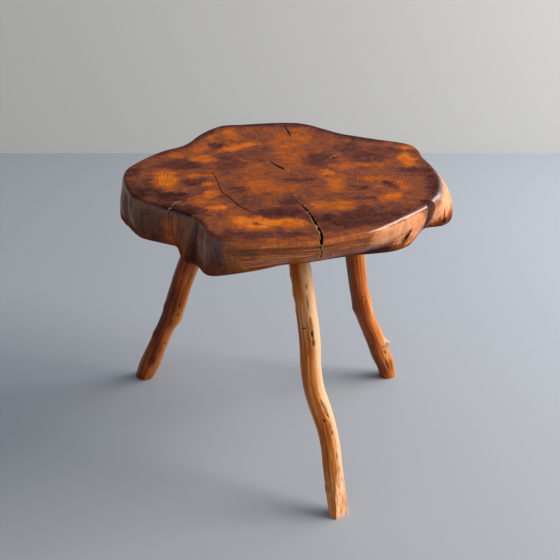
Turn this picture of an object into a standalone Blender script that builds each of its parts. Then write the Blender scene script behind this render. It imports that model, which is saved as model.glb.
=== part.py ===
"""Side table: a thick slice of a tree on three crooked branch legs.

The slab keeps the tree's lobed edge with its folds, its drying checks, a bark pocket and one deep notch.
Each leg is a peeled branch with its knots, whose round tenon sits in a blind hole in the underside, spread
by a hidden wedge in a saw kerf.

Metres, +Z up. The table stands on z = 0 and the middle of the box that it fills is over the origin.
"""

import math

import bmesh
import bpy
from mathutils import Matrix, Vector, noise

# The slab

table_height = 0.450
slab_thickness = 0.066
slab_half_width = 0.247
slab_half_depth = 0.234
corner_round = 0.020
foot_round = 0.004
fold_depth = 0.005
bark_waviness = 0.0013
steps_round_slab = 216
shoulder_rings = 3
side_rings = 7

# Going round the slab from +X: the turn in degrees, then the rim, the belly and the underside as shares
# of the slab's half width and half depth. The front is undercut, and the right side flares out.
live_edge_shares = (
    (0, 1.000, 1.076, 1.096),
    (6, 0.995, 1.076, 1.090),
    (12, 0.992, 1.068, 1.068),
    (18, 0.990, 1.055, 1.040),
    (23, 1.000, 1.050, 1.025),
    (28, 1.035, 1.055, 1.020),
    (33, 1.045, 1.050, 1.010),
    (38, 1.010, 1.020, 0.990),
    (45, 0.948, 0.970, 0.950),
    (54, 0.905, 0.930, 0.920),
    (63, 0.892, 0.915, 0.900),
    (72, 0.935, 0.950, 0.930),
    (78, 0.980, 0.995, 0.960),
    (84, 1.005, 1.020, 0.980),
    (98, 0.998, 1.015, 0.970),
    (106, 1.003, 1.010, 0.960),
    (113, 1.028, 1.030, 0.970),
    (119, 0.998, 1.010, 0.960),
    (126, 0.945, 0.965, 0.945),
    (134, 0.880, 0.910, 0.900),
    (141, 0.866, 0.890, 0.890),
    (149, 0.905, 0.930, 0.920),
    (157, 0.938, 0.965, 0.940),
    (165, 0.972, 0.990, 0.985),
    (172, 1.003, 1.012, 1.010),
    (179, 1.000, 1.018, 1.030),
    (186, 0.985, 1.012, 1.012),
    (192, 0.970, 1.000, 0.976),
    (198, 0.955, 0.986, 0.964),
    (203, 0.925, 0.965, 0.940),
    (210, 0.875, 0.910, 0.868),
    (217, 0.832, 0.850, 0.812),
    (220, 0.822, 0.836, 0.818),
    (223, 0.812, 0.832, 0.848),
    (227, 0.810, 0.846, 0.886),
    (232, 0.818, 0.872, 0.918),
    (236, 0.855, 0.890, 0.912),
    (239, 0.895, 0.920, 0.940),
    (243, 0.985, 0.985, 0.988),
    (246, 1.025, 1.016, 0.992),
    (249, 1.045, 1.030, 0.962),
    (254, 1.042, 1.020, 0.902),
    (262, 1.012, 0.985, 0.822),
    (270, 0.988, 0.955, 0.750),
    (279, 0.972, 0.938, 0.732),
    (288, 0.963, 0.930, 0.722),
    (297, 0.963, 0.930, 0.728),
    (306, 0.970, 0.940, 0.760),
    (314, 0.966, 0.945, 0.825),
    (321, 0.965, 0.955, 0.890),
    (328, 0.980, 0.975, 0.920),
    (335, 1.002, 0.990, 0.905),
    (341, 1.012, 1.010, 0.895),
    (347, 1.015, 1.040, 0.945),
    (350, 1.012, 1.052, 1.040),
    (354, 1.006, 1.066, 1.086),
)
belly_depth_share = 0.45

# Going round from +X: the turn in degrees, and how far the worn shoulder rounds over as a share of the
# round corner at the front left
shoulder_shares = (
    (0, 0.50), (40, 0.40), (90, 0.30), (150, 0.30), (186, 0.25), (205, 0.18), (224, 0.20), (236, 0.40),
    (245, 1.00), (252, 1.00), (262, 0.60), (280, 0.50), (300, 0.50), (318, 0.45), (331, 0.40), (342, 0.55),
)

# Folds and flutes down the side: the turn at the top and at the underside and the half width in degrees,
# how far the wood stands out (+) or in (-) as a share of the deepest fold, and the depth shares between
# which it shows
fold_shares = (
    (186.0, 190.0, 3.0, 0.30, 0.30, 1.00),
    (190.0, 199.0, 2.6, -0.84, 0.10, 1.00),
    (205.0, 204.0, 2.2, 0.36, 0.15, 1.00),
    (210.0, 209.0, 2.6, -0.40, 0.20, 0.95),
    (216.0, 217.0, 1.8, 0.24, 0.05, 1.00),
    (223.0, 223.5, 1.6, -0.36, 0.15, 1.00),
    (226.5, 227.5, 1.6, 0.24, 0.15, 1.00),
    (232.5, 234.0, 2.0, -0.96, 0.04, 1.00),
    (238.0, 238.5, 1.5, 0.20, 0.10, 1.00),
    (248.0, 248.5, 2.8, -0.60, 0.24, 0.74),
    (323.5, 322.0, 2.2, -0.30, 0.50, 0.95),
    (345.0, 344.0, 2.2, 0.24, 0.20, 0.90),
    (351.0, 352.0, 2.0, -0.32, 0.20, 1.00),
    (358.0, 359.0, 2.6, 0.10, 0.10, 1.00),
    (10.0, 9.0, 3.0, -0.60, 0.10, 1.00),
    (22.0, 22.0, 2.6, -0.44, 0.20, 1.00),
    (41.0, 43.0, 2.6, -0.60, 0.10, 1.00),
    (58.0, 57.0, 3.0, -0.50, 0.10, 1.00),
    (70.0, 71.0, 2.4, 0.36, 0.10, 1.00),
    (91.0, 90.0, 2.6, -0.44, 0.10, 1.00),
    (109.0, 110.0, 2.2, -0.40, 0.10, 1.00),
    (128.0, 127.0, 3.0, -0.70, 0.10, 1.00),
    (139.0, 140.0, 2.4, -0.50, 0.10, 1.00),
    (153.0, 152.0, 2.6, -0.40, 0.10, 1.00),
    (168.0, 169.0, 2.6, -0.56, 0.10, 1.00),
    (177.0, 177.0, 2.2, 0.30, 0.10, 1.00),
)

# Drying checks in the top: plan points and how far each stands open there, as shares of the slab's half
# depth and of the check's width

cutter_overrun = 0.010
check_root_share = 0.25
front_check_width = 0.0044
front_check_floor_share = 0.72
front_check_shares = ((0.092, -0.310, 0.16), (0.112, -0.400, 0.30), (0.140, -0.470, 0.55),
                      (0.177, -0.558, 0.95), (0.210, -0.690, 1.05), (0.238, -0.826, 1.05),
                      (0.250, -0.938, 1.10), (0.252, -1.100, 0.90))
left_check_width = 0.0034
left_check_floor_share = 1.20
left_check_shares = ((-0.500, -0.225, 0.18), (-0.576, -0.313, 0.55), (-0.628, -0.360, 0.80),
                     (-0.684, -0.422, 0.95), (-0.706, -0.480, 1.20), (-0.735, -0.600, 1.70))
heart_check_width = 0.0046
heart_check_floor_share = 0.30
heart_check_shares = ((-0.072, 0.262, 0.15), (-0.045, 0.215, 0.70), (-0.018, 0.175, 1.00), (0.012, 0.140, 1.10),
                      (0.036, 0.122, 0.80), (0.060, 0.118, 0.18))
back_check_width = 0.0026
back_check_floor_share = 0.25
back_check_shares = ((0.078, 0.690, 0.20), (0.066, 0.750, 0.70), (0.053, 0.811, 1.00), (0.036, 0.880, 0.80),
                     (0.026, 0.930, 0.25))
far_check_width = 0.0015
far_check_floor_share = 0.12
far_check_shares = ((0.300, 0.250, 0.25), (0.345, 0.330, 0.70), (0.395, 0.385, 0.60), (0.428, 0.440, 1.00),
                    (0.470, 0.540, 1.10), (0.523, 0.673, 0.90), (0.560, 0.780, 0.60))
ring_shake_width = 0.0015
ring_shake_floor_share = 0.025
ring_shake_shares = ((-0.464, 0.077, 0.35), (-0.432, -0.023, 0.70), (-0.384, -0.250, 0.90),
                     (-0.328, -0.345, 1.10), (-0.261, -0.468, 1.20), (-0.195, -0.543, 1.00),
                     (-0.131, -0.587, 0.80), (-0.068, -0.624, 0.60), (-0.005, -0.646, 0.50),
                     (0.058, -0.646, 0.30))

# Two gashes in the side: the turn in degrees and the depth share of each end, and how many points between

bark_pocket_width = 0.006
bark_pocket_depth = 0.009
bark_pocket_shares = ((321.5, 0.86), (325.5, 0.40))
lobe_crack_width = 0.0026
lobe_crack_depth = 0.007
lobe_crack_shares = ((348.6, 0.42), (349.6, 0.80))
steps_along_gash = 5
gash_mouth_share = 1.4

notch_turn = 336.0
notch_depth = 0.017
notch_width = 0.020
notch_root_width = 0.004
notch_reach_share = 2.0
notch_flare_share = 1.5

# Legs: where each is let in and where it stands, measured from the middle of the slab

socket_spread = 0.134
socket_depth = 0.042
tenon_radius = 0.0145
tenon_length = 0.040
fit_gap = 0.0003
shoulder_length = 0.014
kerf_depth = 0.024
kerf_root = 0.0018
kerf_mouth = 0.0046
kerf_width_share = 4.0
wedge_width_share = 1.6
wedge_length_share = 0.86
floor_overrun = 0.012
shoulder_room = 0.004
branch_waviness = 0.0012
steps_round_leg = 18
steps_between_points = 4
steps_down_shoulder = 3

# Each leg's line gives height, sway across its lean, sway along it and girth as shares. Its knots and
# hollows give a height as a share of the underside's, the way it faces in degrees, then its half length,
# half width and relief as shares of the leg's radius.
left_leg = {
    "name": "left",
    "radius": 0.0178,
    "socket_turn": 144.0,
    "foot_turn": 151.6,
    "foot_spread": 0.280,
    "branch_shares": ((0.00, 0.000, 0.000, 0.86), (0.06, 0.002, -0.001, 0.95), (0.13, 0.005, -0.005, 0.94),
                      (0.21, 0.007, -0.010, 0.87), (0.30, 0.006, -0.012, 0.88), (0.36, 0.003, -0.017, 1.00),
                      (0.42, 0.000, -0.015, 1.03), (0.50, -0.004, -0.008, 0.99), (0.58, -0.005, -0.004, 1.01),
                      (0.66, -0.003, -0.004, 1.03), (0.76, 0.001, -0.004, 1.02), (0.88, 0.000, -0.002, 1.00)),
    "knot_shares": ((0.358, 352, 0.56, 0.50, 0.09), (0.398, 192, 0.45, 0.45, 0.07),
                    (0.247, 190, 0.50, 0.40, 0.08), (0.534, 60, 0.50, 0.30, 0.10),
                    (0.286, 110, 0.45, 0.30, -0.07)),
}
front_leg = {
    "name": "front",
    "radius": 0.0160,
    "socket_turn": 281.0,
    "foot_turn": 288.4,
    "foot_spread": 0.285,
    "branch_shares": ((0.00, 0.000, 0.000, 0.86), (0.09, 0.000, 0.004, 0.92), (0.18, 0.002, 0.008, 0.95),
                      (0.26, 0.006, 0.008, 0.93), (0.34, 0.004, 0.002, 0.94), (0.41, -0.006, -0.006, 0.99),
                      (0.49, -0.019, -0.010, 0.97), (0.57, -0.017, -0.008, 0.98), (0.65, -0.009, -0.002, 1.00),
                      (0.73, -0.006, 0.002, 1.04), (0.81, -0.004, 0.004, 1.00), (0.90, -0.002, 0.002, 1.02)),
    "knot_shares": ((0.702, 286, 0.70, 0.26, -0.11), (0.418, 296, 0.75, 0.26, -0.09),
                    (0.890, 182, 0.50, 0.30, -0.08), (0.816, 182, 0.50, 0.30, -0.08),
                    (0.113, 216, 0.40, 0.30, -0.08), (0.521, 40, 0.50, 0.35, 0.10),
                    (0.300, 130, 0.45, 0.30, -0.07)),
}
right_leg = {
    "name": "right",
    "radius": 0.0164,
    "socket_turn": 35.0,
    "foot_turn": 35.2,
    "foot_spread": 0.237,
    "branch_shares": ((0.00, 0.000, 0.000, 0.86), (0.07, 0.003, 0.001, 0.96), (0.13, 0.008, -0.008, 1.00),
                      (0.20, 0.012, -0.016, 0.97), (0.28, 0.016, -0.026, 0.95), (0.36, 0.018, -0.038, 0.96),
                      (0.42, 0.018, -0.042, 1.04), (0.50, 0.016, -0.042, 0.96), (0.58, 0.012, -0.038, 0.97),
                      (0.67, 0.008, -0.030, 1.00), (0.78, 0.004, -0.018, 1.01), (0.90, 0.001, -0.007, 1.00)),
    "knot_shares": ((0.167, 335, 0.55, 0.32, 0.13), (0.159, 306, 0.40, 0.24, -0.08),
                    (0.075, 303, 0.90, 0.24, -0.09), (0.410, 189, 0.50, 0.50, 0.08),
                    (0.365, 80, 0.50, 0.35, 0.10)),
}

stub_radius = 0.0055
stub_length = 0.0075
stub_height_share = 0.188
stub_lean_shares = (1.0, -0.25, 0.12)
foot_facet_height = 0.072
foot_facet_depth = 0.0065
foot_facet_turn = 312.0
foot_facet_lip = 0.0005
facet_reach_share = 3.0


def clear_scene():
    """Remove what the start-up file left."""
    for old in list(bpy.data.objects):
        bpy.data.objects.remove(old, do_unlink=True)


def new_collection(name):
    """A collection linked to the scene."""
    group = bpy.data.collections.new(name)
    bpy.context.scene.collection.children.link(group)
    return group


def wood(name, colour, roughness):
    """A plain wood finish."""
    finish = bpy.data.materials.new(name)
    finish.use_nodes = True
    shader = finish.node_tree.nodes["Principled BSDF"]
    shader.inputs["Base Color"].default_value = (*colour, 1.0)
    shader.inputs["Roughness"].default_value = roughness
    shader.inputs["Metallic"].default_value = 0.0
    return finish


def add_mesh(name, bm, group, finish=None):
    """Turn a bmesh into a named object in its collection."""
    bmesh.ops.recalc_face_normals(bm, faces=bm.faces)
    mesh = bpy.data.meshes.new(name)
    bm.to_mesh(mesh)
    bm.free()
    piece = bpy.data.objects.new(name, mesh)
    group.objects.link(piece)
    if finish:
        mesh.materials.append(finish)
        mesh.shade_smooth()
        mesh.set_sharp_from_angle(angle=math.radians(35.0))
    return piece


def add_cutter(name, bm, group):
    """A guide that is only used to cut or join."""
    piece = add_mesh(name, bm, group)
    piece.hide_render = True
    piece.display_type = "WIRE"
    return piece


def boolean(piece, other, operation):
    """Cut or join with the exact solver."""
    change = piece.modifiers.new(other.name, "BOOLEAN")
    change.object = other
    change.operation = operation
    change.solver = "EXACT"


def loft(bm, rings):
    """Skin closed rings of equal counts with triangles, which stay flat when cut, and cap both ends."""
    for upper, lower in zip(rings, rings[1:]):
        for i in range(len(upper)):
            j = (i + 1) % len(upper)
            bm.faces.new((upper[i], lower[i], lower[j]))
            bm.faces.new((upper[i], lower[j], upper[j]))
    bm.faces.new(rings[0])
    bm.faces.new(list(reversed(rings[-1])))


def ramped(value, low, high):
    """0 below low, 1 above high, smooth between."""
    s = min(max((value - low) / (high - low), 0.0), 1.0)
    return s * s * (3 - 2 * s)


def turn_between(turn, centre):
    """The way from a centre to a turn, in degrees either side."""
    return (turn - centre + 180.0) % 360.0 - 180.0


def bell(distance):
    """1 at no distance, fading to nothing past two."""
    return math.exp(-distance * distance)


def cubic(s, span, start, end, slope_start, slope_end):
    """A smooth step from one value to the next, on a cubic with the given slopes."""
    return (start * (2 * s ** 3 - 3 * s ** 2 + 1) + slope_start * (span * (s ** 3 - 2 * s ** 2 + s))
            + end * (3 * s ** 2 - 2 * s ** 3) + slope_end * (span * (s ** 3 - s ** 2)))


def smooth_round(rows, column, turn):
    """Read one column of a closed table at any turn, on a cubic through its rows."""
    count = len(rows)
    after = next((i for i, row in enumerate(rows) if row[0] > turn), 0)
    knots = []
    for offset in (-2, -1, 0, 1):
        index = after + offset
        lap = math.floor(index / count)
        if after == 0 and turn >= rows[-1][0]:
            lap += 1
        knots.append((rows[index % count][0] + 360.0 * lap, rows[index % count][column]))
    (t0, v0), (t1, v1), (t2, v2), (t3, v3) = knots
    span = t2 - t1
    return cubic((turn - t1) / span, span, v1, v2, (v2 - v0) / (t2 - t0), (v3 - v1) / (t3 - t1))


# The slab


def side_share(rim, belly, foot, depth_share):
    """How far out the side lies at a depth: a curve through rim, belly and underside."""
    b = belly_depth_share
    s = depth_share
    return (rim * (s - b) * (s - 1) / b + belly * s * (s - 1) / (b * (b - 1)) + foot * s * (s - b) / (1 - b))


def side_form(turn, depth_share):
    """How far the wood stands out from the smooth side: its slow waves, folds and flutes."""
    angle = math.radians(turn)
    wave = noise.noise(Vector((math.cos(angle) * 5.0, math.sin(angle) * 5.0, depth_share * 0.8)))
    relief = wave * bark_waviness
    for top_turn, foot_turn, half_width, height_share, start, end in fold_shares:
        centre = top_turn + (foot_turn - top_turn) * depth_share
        distance = turn_between(turn, centre) / half_width
        shown = ramped(depth_share, start - 0.12, start + 0.12) * (1 - ramped(depth_share, end - 0.06, end + 0.12))
        relief += fold_depth * height_share * bell(distance) * shown
    return relief * ramped(depth_share, 0.0, 0.16) * (1 - ramped(depth_share, 0.93, 1.0))


def side_point(turn, depth, inset):
    """A point on the side's skin at a depth under the top."""
    rim, belly, foot = (smooth_round(live_edge_shares, column, turn) for column in (1, 2, 3))
    depth_share = depth / slab_thickness
    out = side_share(rim, belly, foot, depth_share)
    relief = side_form(turn, depth_share) - inset
    angle = math.radians(turn)
    return Vector(((slab_half_width * out + relief) * math.cos(angle),
                   (slab_half_depth * out + relief) * math.sin(angle), table_height - depth))


def slab_levels(turn):
    """Depth under the top and inset of each ring at a turn: over the shoulder, down the side, round the foot."""
    shoulder = corner_round * smooth_round(shoulder_shares, 1, turn)
    side = slab_thickness - foot_round - shoulder
    levels = []
    for ring in range(shoulder_rings):
        lean = math.radians(90.0) * ring / shoulder_rings
        levels.append((shoulder * (1 - math.cos(lean)), shoulder * (1 - math.sin(lean))))
    for ring in range(side_rings):
        levels.append((shoulder + side * ring / (side_rings - 1), 0.0))
    for lean in (math.radians(45.0), math.radians(90.0)):
        levels.append((slab_thickness - foot_round * (1 - math.sin(lean)), foot_round * (1 - math.cos(lean))))
    return levels


def make_slab(group, finish):
    """The slice of trunk: a loft from the worn shoulder past the belly to the undercut underside."""
    turns = [360.0 * step / steps_round_slab for step in range(steps_round_slab)]
    columns = [[side_point(turn, depth, inset) for depth, inset in slab_levels(turn)] for turn in turns]
    bm = bmesh.new()
    loft(bm, [[bm.verts.new(point) for point in ring] for ring in zip(*columns)])
    return add_mesh("slab", bm, group, finish)


def make_check(name, shares, width, floor_share, group):
    """A drying check: a wedge-shaped split along a path, widest in the top and closing downwards."""
    bm = bmesh.new()
    path = [Vector((x * slab_half_depth, y * slab_half_depth, 0.0)) for x, y, opening in shares]
    top = table_height + cutter_overrun
    bottom = table_height - slab_thickness * floor_share
    spread = (top - bottom) / (table_height - bottom)
    rings = []
    for i, point in enumerate(path):
        along = (path[min(i + 1, len(path) - 1)] - path[max(i - 1, 0)]).normalized()
        half = Vector((-along.y, along.x, 0.0)) * width * shares[i][2] / 2
        mouth, root = half * spread, half * check_root_share
        corners = (point - mouth, point - root, point + root, point + mouth)
        heights = (top, bottom, bottom, top)
        rings.append([bm.verts.new((c.x, c.y, z)) for c, z in zip(corners, heights)])
    loft(bm, rings)
    return add_cutter(name, bm, group)


def make_gash(name, shares, width, depth, group):
    """A slit in the side that closes inwards and to both ends."""
    (turn_a, depth_a), (turn_b, depth_b) = shares
    bm = bmesh.new()
    rings = []
    for step in range(steps_along_gash + 1):
        part = step / steps_along_gash
        turn = turn_a + (turn_b - turn_a) * part
        centre = side_point(turn, slab_thickness * (depth_a + (depth_b - depth_a) * part), 0.0)
        inward = -Vector((math.cos(math.radians(turn)), math.sin(math.radians(turn)), 0.0))
        open_share = math.sin(math.pi * (0.08 + 0.84 * part))
        across = Vector((-inward.y, inward.x, 0.0)) * width * open_share / 2 * gash_mouth_share
        face = centre - inward * width
        root = centre + inward * depth * open_share
        rings.append([bm.verts.new(point) for point in (face + across, face - across, root)])
    loft(bm, rings)
    return add_cutter(name, bm, group)


def make_notch(group):
    """The cleft between the front right of the slab and its right lobe."""
    angle = math.radians(notch_turn)
    rim = smooth_round(live_edge_shares, 1, notch_turn)
    mouth = Vector((slab_half_width * rim * math.cos(angle), slab_half_depth * rim * math.sin(angle), 0.0))
    outward = mouth.normalized()
    across = Vector((-outward.y, outward.x, 0.0))
    root = mouth - outward * notch_depth
    beyond = mouth + outward * notch_depth * notch_reach_share
    half_root = across * notch_root_width / 2
    half_beyond = across * notch_width * notch_flare_share
    corners = (root - half_root, beyond - half_beyond, beyond + half_beyond, root + half_root)
    heights = (table_height + cutter_overrun, table_height - slab_thickness - cutter_overrun)
    bm = bmesh.new()
    loft(bm, [[bm.verts.new((c.x, c.y, z)) for c in corners] for z in heights])
    return add_cutter("notch_cutter", bm, group)


# The legs


def plan_point(turn, spread, height):
    """A point at a turn and a distance from the middle of the slab."""
    angle = math.radians(turn)
    return Vector((spread * math.cos(angle), spread * math.sin(angle), height))


def branch_line(leg):
    """The branch's points from the floor up with their radii, and the middle of its socket's mouth."""
    foot = plan_point(leg["foot_turn"], leg["foot_spread"], 0.0)
    socket = plan_point(leg["socket_turn"], socket_spread, table_height - slab_thickness)
    chord = socket - foot
    lean = Vector((-chord.x, -chord.y, 0.0)).normalized()
    across = Vector((-lean.y, lean.x, 0.0))
    line = []
    for height, aside, outward, girth in leg["branch_shares"]:
        sway = (across * aside + lean * outward) * chord.z
        line.append((foot + chord * height + sway, leg["radius"] * girth))
    return line, socket


def axis_into_slab(leg):
    """The straight line on which the leg's tenon and its socket are bored."""
    line, socket = branch_line(leg)
    return socket, (socket - line[-1][0]).normalized()


def peg(bm, start, axis, length, radius, steps):
    """A straight round rod from a point along an axis."""
    turn = Vector((0.0, 0.0, 1.0)).rotation_difference(axis).to_matrix().to_4x4()
    place = Matrix.Translation(start + axis * length / 2) @ turn
    bmesh.ops.create_cone(bm, cap_ends=True, segments=steps, radius1=radius, radius2=radius,
                          depth=length, matrix=place)


def make_socket(leg, group):
    """The blind hole for a leg's tenon."""
    socket, axis = axis_into_slab(leg)
    bm = bmesh.new()
    peg(bm, socket - axis * cutter_overrun, axis, cutter_overrun + socket_depth,
        tenon_radius + fit_gap, steps_round_leg * 2)
    return add_cutter(leg["name"] + "_socket_cutter", bm, group)


def leg_path(leg):
    """Smooth points and radii of the branch up to its shoulder, then down the shoulder to the tenon's end."""
    line, socket = branch_line(leg)
    axis = axis_into_slab(leg)[1]
    mouth_clearance = tenon_radius * math.tan(math.acos(axis.z)) + fit_gap
    neck = socket - axis * mouth_clearance
    shoulder = neck - axis * shoulder_length
    below = (line[0][0] - line[1][0]).normalized() * floor_overrun
    knots = [(line[0][0] + below, line[0][1])]
    knots += [knot for knot in line if (knot[0] - shoulder).dot(axis) < -shoulder_room]
    knots.append((shoulder, leg["radius"]))
    branch = []
    for i in range(len(knots) - 1):
        (p0, r0), (p1, r1) = knots[max(i - 1, 0)], knots[i]
        (p2, r2), (p3, r3) = knots[i + 1], knots[min(i + 2, len(knots) - 1)]
        for step in range(steps_between_points):
            s = step / steps_between_points
            branch.append((cubic(s, 1.0, p1, p2, (p2 - p0) / 2, (p3 - p1) / 2),
                           cubic(s, 1.0, r1, r2, (r2 - r0) / 2, (r3 - r1) / 2)))
    whittled = []
    for step in range(steps_down_shoulder + 1):
        s = step / steps_down_shoulder
        radius = leg["radius"] + (tenon_radius - leg["radius"]) * ramped(s, 0, 1)
        whittled.append((shoulder.lerp(neck, s), radius))
    whittled.append((socket + axis * tenon_length, tenon_radius))
    return branch, whittled


def branch_relief(leg, place, outward, radius, facing, length_share):
    """How far the bark side stands out at a point: its slow waves, knots and hollows."""
    seed = Vector((ord(leg["name"][0]), 3.0, 1.0))
    wave = noise.noise(outward * 0.9 + Vector((0, 0, (1 - length_share) * 8.0)) + seed)
    relief = wave * branch_waviness
    underside = table_height - slab_thickness
    for height_share, knot_facing, length, width, height in leg["knot_shares"]:
        rise = (place.z - underside * height_share) / (length * leg["radius"])
        round_way = math.radians(turn_between(facing, knot_facing)) * radius / (width * leg["radius"])
        relief += height * leg["radius"] * bell(math.hypot(rise, round_way))
    return relief


def make_leg(leg, group, finish):
    """A peeled branch, whittled to a shoulder and a round tenon and sawn level at the floor."""
    branch, whittled = leg_path(leg)
    path = branch + whittled
    bm = bmesh.new()
    rings = []
    for i, (place, radius) in enumerate(path):
        direction = (path[min(i + 1, len(path) - 1)][0] - path[max(i - 1, 0)][0]).normalized()
        side = (Vector((1.0, 0.0, 0.0)) - direction * direction.x).normalized()
        front = direction.cross(side)
        ring = []
        for step in range(steps_round_leg):
            facing = 360.0 * step / steps_round_leg
            outward = side * math.cos(math.radians(facing)) + front * math.sin(math.radians(facing))
            relief = 0.0
            if i < len(branch) - 1:
                relief = branch_relief(leg, place, outward, radius, facing, i / len(branch))
            ring.append(bm.verts.new(place + outward * (radius + relief)))
        rings.append(ring)
    loft(bm, rings)
    bmesh.ops.bisect_plane(bm, geom=bm.verts[:] + bm.edges[:] + bm.faces[:], plane_co=(0, 0, 0),
                           plane_no=(0, 0, -1), clear_outer=True)
    bmesh.ops.edgeloop_fill(bm, edges=[edge for edge in bm.edges if edge.is_boundary])
    return add_mesh(leg["name"] + "_leg", bm, group, finish)


def wedge_frame(leg):
    """The middle of the tenon's end, the tenon's axis, and the line across it on which the kerf is sawn."""
    socket, axis = axis_into_slab(leg)
    grain = Vector((socket.x, socket.y, 0.0))
    across = axis.cross(grain).normalized()
    return socket + axis * tenon_length, axis, across


def tapered_block(bm, top, axis, across, width, depth, mouth, root):
    """A block that is wide at its top end and thin at its foot, set across a tenon."""
    thick = axis.cross(across).normalized()
    rings = []
    for place, half in ((top, mouth / 2), (top - axis * depth, root / 2)):
        rings.append([bm.verts.new(place + across * x * width / 2 + thick * y * half)
                      for x, y in ((-1, -1), (1, -1), (1, 1), (-1, 1))])
    loft(bm, rings)


def make_kerf(leg, group):
    """The saw kerf in the tenon's end, spread by the wedge."""
    end, axis, across = wedge_frame(leg)
    slope = (kerf_mouth - kerf_root) / kerf_depth
    mouth = kerf_mouth + slope * cutter_overrun
    bm = bmesh.new()
    tapered_block(bm, end + axis * cutter_overrun, axis, across, tenon_radius * kerf_width_share,
                  kerf_depth + cutter_overrun, mouth, kerf_root)
    return add_cutter(leg["name"] + "_kerf_cutter", bm, group)


def make_wedge(leg, group, finish):
    """The hidden wedge that the bottom of the blind hole drives into the kerf."""
    end, axis, across = wedge_frame(leg)
    length = kerf_depth * wedge_length_share
    slope = (kerf_mouth - kerf_root) / kerf_depth
    mouth = kerf_mouth - 2 * fit_gap
    bm = bmesh.new()
    tapered_block(bm, end, axis, across, tenon_radius * wedge_width_share, length, mouth, mouth - slope * length)
    return add_mesh(leg["name"] + "_wedge", bm, group, finish)


def make_stub(leg, group):
    """The short stub of a twig, sawn off close to the right leg."""
    line = branch_line(leg)[0]
    heights = [row[0] for row in leg["branch_shares"]]
    after = next(i for i, height in enumerate(heights) if height > stub_height_share)
    low, high = line[after - 1][0], line[after][0]
    part = (stub_height_share - heights[after - 1]) / (heights[after] - heights[after - 1])
    axis = Vector(stub_lean_shares).normalized()
    bm = bmesh.new()
    peg(bm, low.lerp(high, part), axis, leg["radius"] + stub_length, stub_radius, steps_round_leg // 2)
    return add_cutter("right_stub", bm, group)


def make_foot_facet(leg, group):
    """The axe cut that slants up the right front of the front leg's foot."""
    line = branch_line(leg)[0]
    (foot, foot_radius), (next_point, next_radius) = line[0], line[1]
    facing = plan_point(foot_facet_turn, 1.0, 0.0)
    across = Vector((-facing.y, facing.x, 0.0))
    rise = (next_point - foot) / (next_point - foot).z
    low = foot + facing * (foot_radius - foot_facet_depth)
    high = foot + rise * foot_facet_height + facing * (next_radius + foot_facet_lip)
    slant = high - low
    reach = foot_radius * facet_reach_share
    bm = bmesh.new()
    rings = []
    for place in (low - slant, high + slant):
        rings.append([bm.verts.new(place + across * x * reach + facing * y * reach)
                      for x, y in ((-1, 0), (1, 0), (1, 1), (-1, 1))])
    loft(bm, rings)
    return add_cutter("foot_facet_cutter", bm, group)


def shift_to_origin(pieces):
    """How far the table moves so that the middle of the box that its pieces fill is over the origin."""
    graph = bpy.context.evaluated_depsgraph_get()
    graph.update()
    corners = []
    for piece in pieces:
        solid = piece.evaluated_get(graph)
        corners += [solid.matrix_world @ vertex.co for vertex in solid.data.vertices]
    middle_x = (min(c.x for c in corners) + max(c.x for c in corners)) / 2
    middle_y = (min(c.y for c in corners) + max(c.y for c in corners)) / 2
    return Vector((-middle_x, -middle_y, 0.0))


def build():
    """Make every piece of the table."""
    clear_scene()
    table = new_collection("side_table")
    cutters = new_collection("cutters")
    slab_wood = wood("varnished slab wood", (0.30, 0.085, 0.025), 0.32)
    branch_wood = wood("varnished branch wood", (0.42, 0.17, 0.055), 0.38)
    wedge_wood = wood("bare wedge wood", (0.52, 0.34, 0.18), 0.65)

    slab = make_slab(table, slab_wood)
    splits = (
        make_check("front_check_cutter", front_check_shares, front_check_width, front_check_floor_share, cutters),
        make_check("left_check_cutter", left_check_shares, left_check_width, left_check_floor_share, cutters),
        make_check("heart_check_cutter", heart_check_shares, heart_check_width, heart_check_floor_share, cutters),
        make_check("back_check_cutter", back_check_shares, back_check_width, back_check_floor_share, cutters),
        make_check("far_check_cutter", far_check_shares, far_check_width, far_check_floor_share, cutters),
        make_check("ring_shake_cutter", ring_shake_shares, ring_shake_width, ring_shake_floor_share, cutters),
        make_gash("bark_pocket_cutter", bark_pocket_shares, bark_pocket_width, bark_pocket_depth, cutters),
        make_gash("lobe_crack_cutter", lobe_crack_shares, lobe_crack_width, lobe_crack_depth, cutters),
        make_notch(cutters),
    )
    for split in splits:
        boolean(slab, split, "DIFFERENCE")

    pieces = [slab]
    for leg in (front_leg, left_leg, right_leg):
        boolean(slab, make_socket(leg, cutters), "DIFFERENCE")
        branch = make_leg(leg, table, branch_wood)
        boolean(branch, make_kerf(leg, cutters), "DIFFERENCE")
        if leg is front_leg:
            boolean(branch, make_foot_facet(leg, cutters), "DIFFERENCE")
        if leg is right_leg:
            boolean(branch, make_stub(leg, cutters), "UNION")
        pieces += [branch, make_wedge(leg, table, wedge_wood)]

    middle = bpy.data.objects.new("table_middle", None)
    table.objects.link(middle)
    middle.location = shift_to_origin(pieces)
    for group in (table, cutters):
        for piece in group.objects:
            if piece is not middle:
                piece.parent = middle


build()
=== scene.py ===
"""Side table: the looks of a varnished tree slice on three peeled branch legs."""

import math
import random

import bmesh
import bpy
from mathutils import Matrix, Vector, noise


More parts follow.
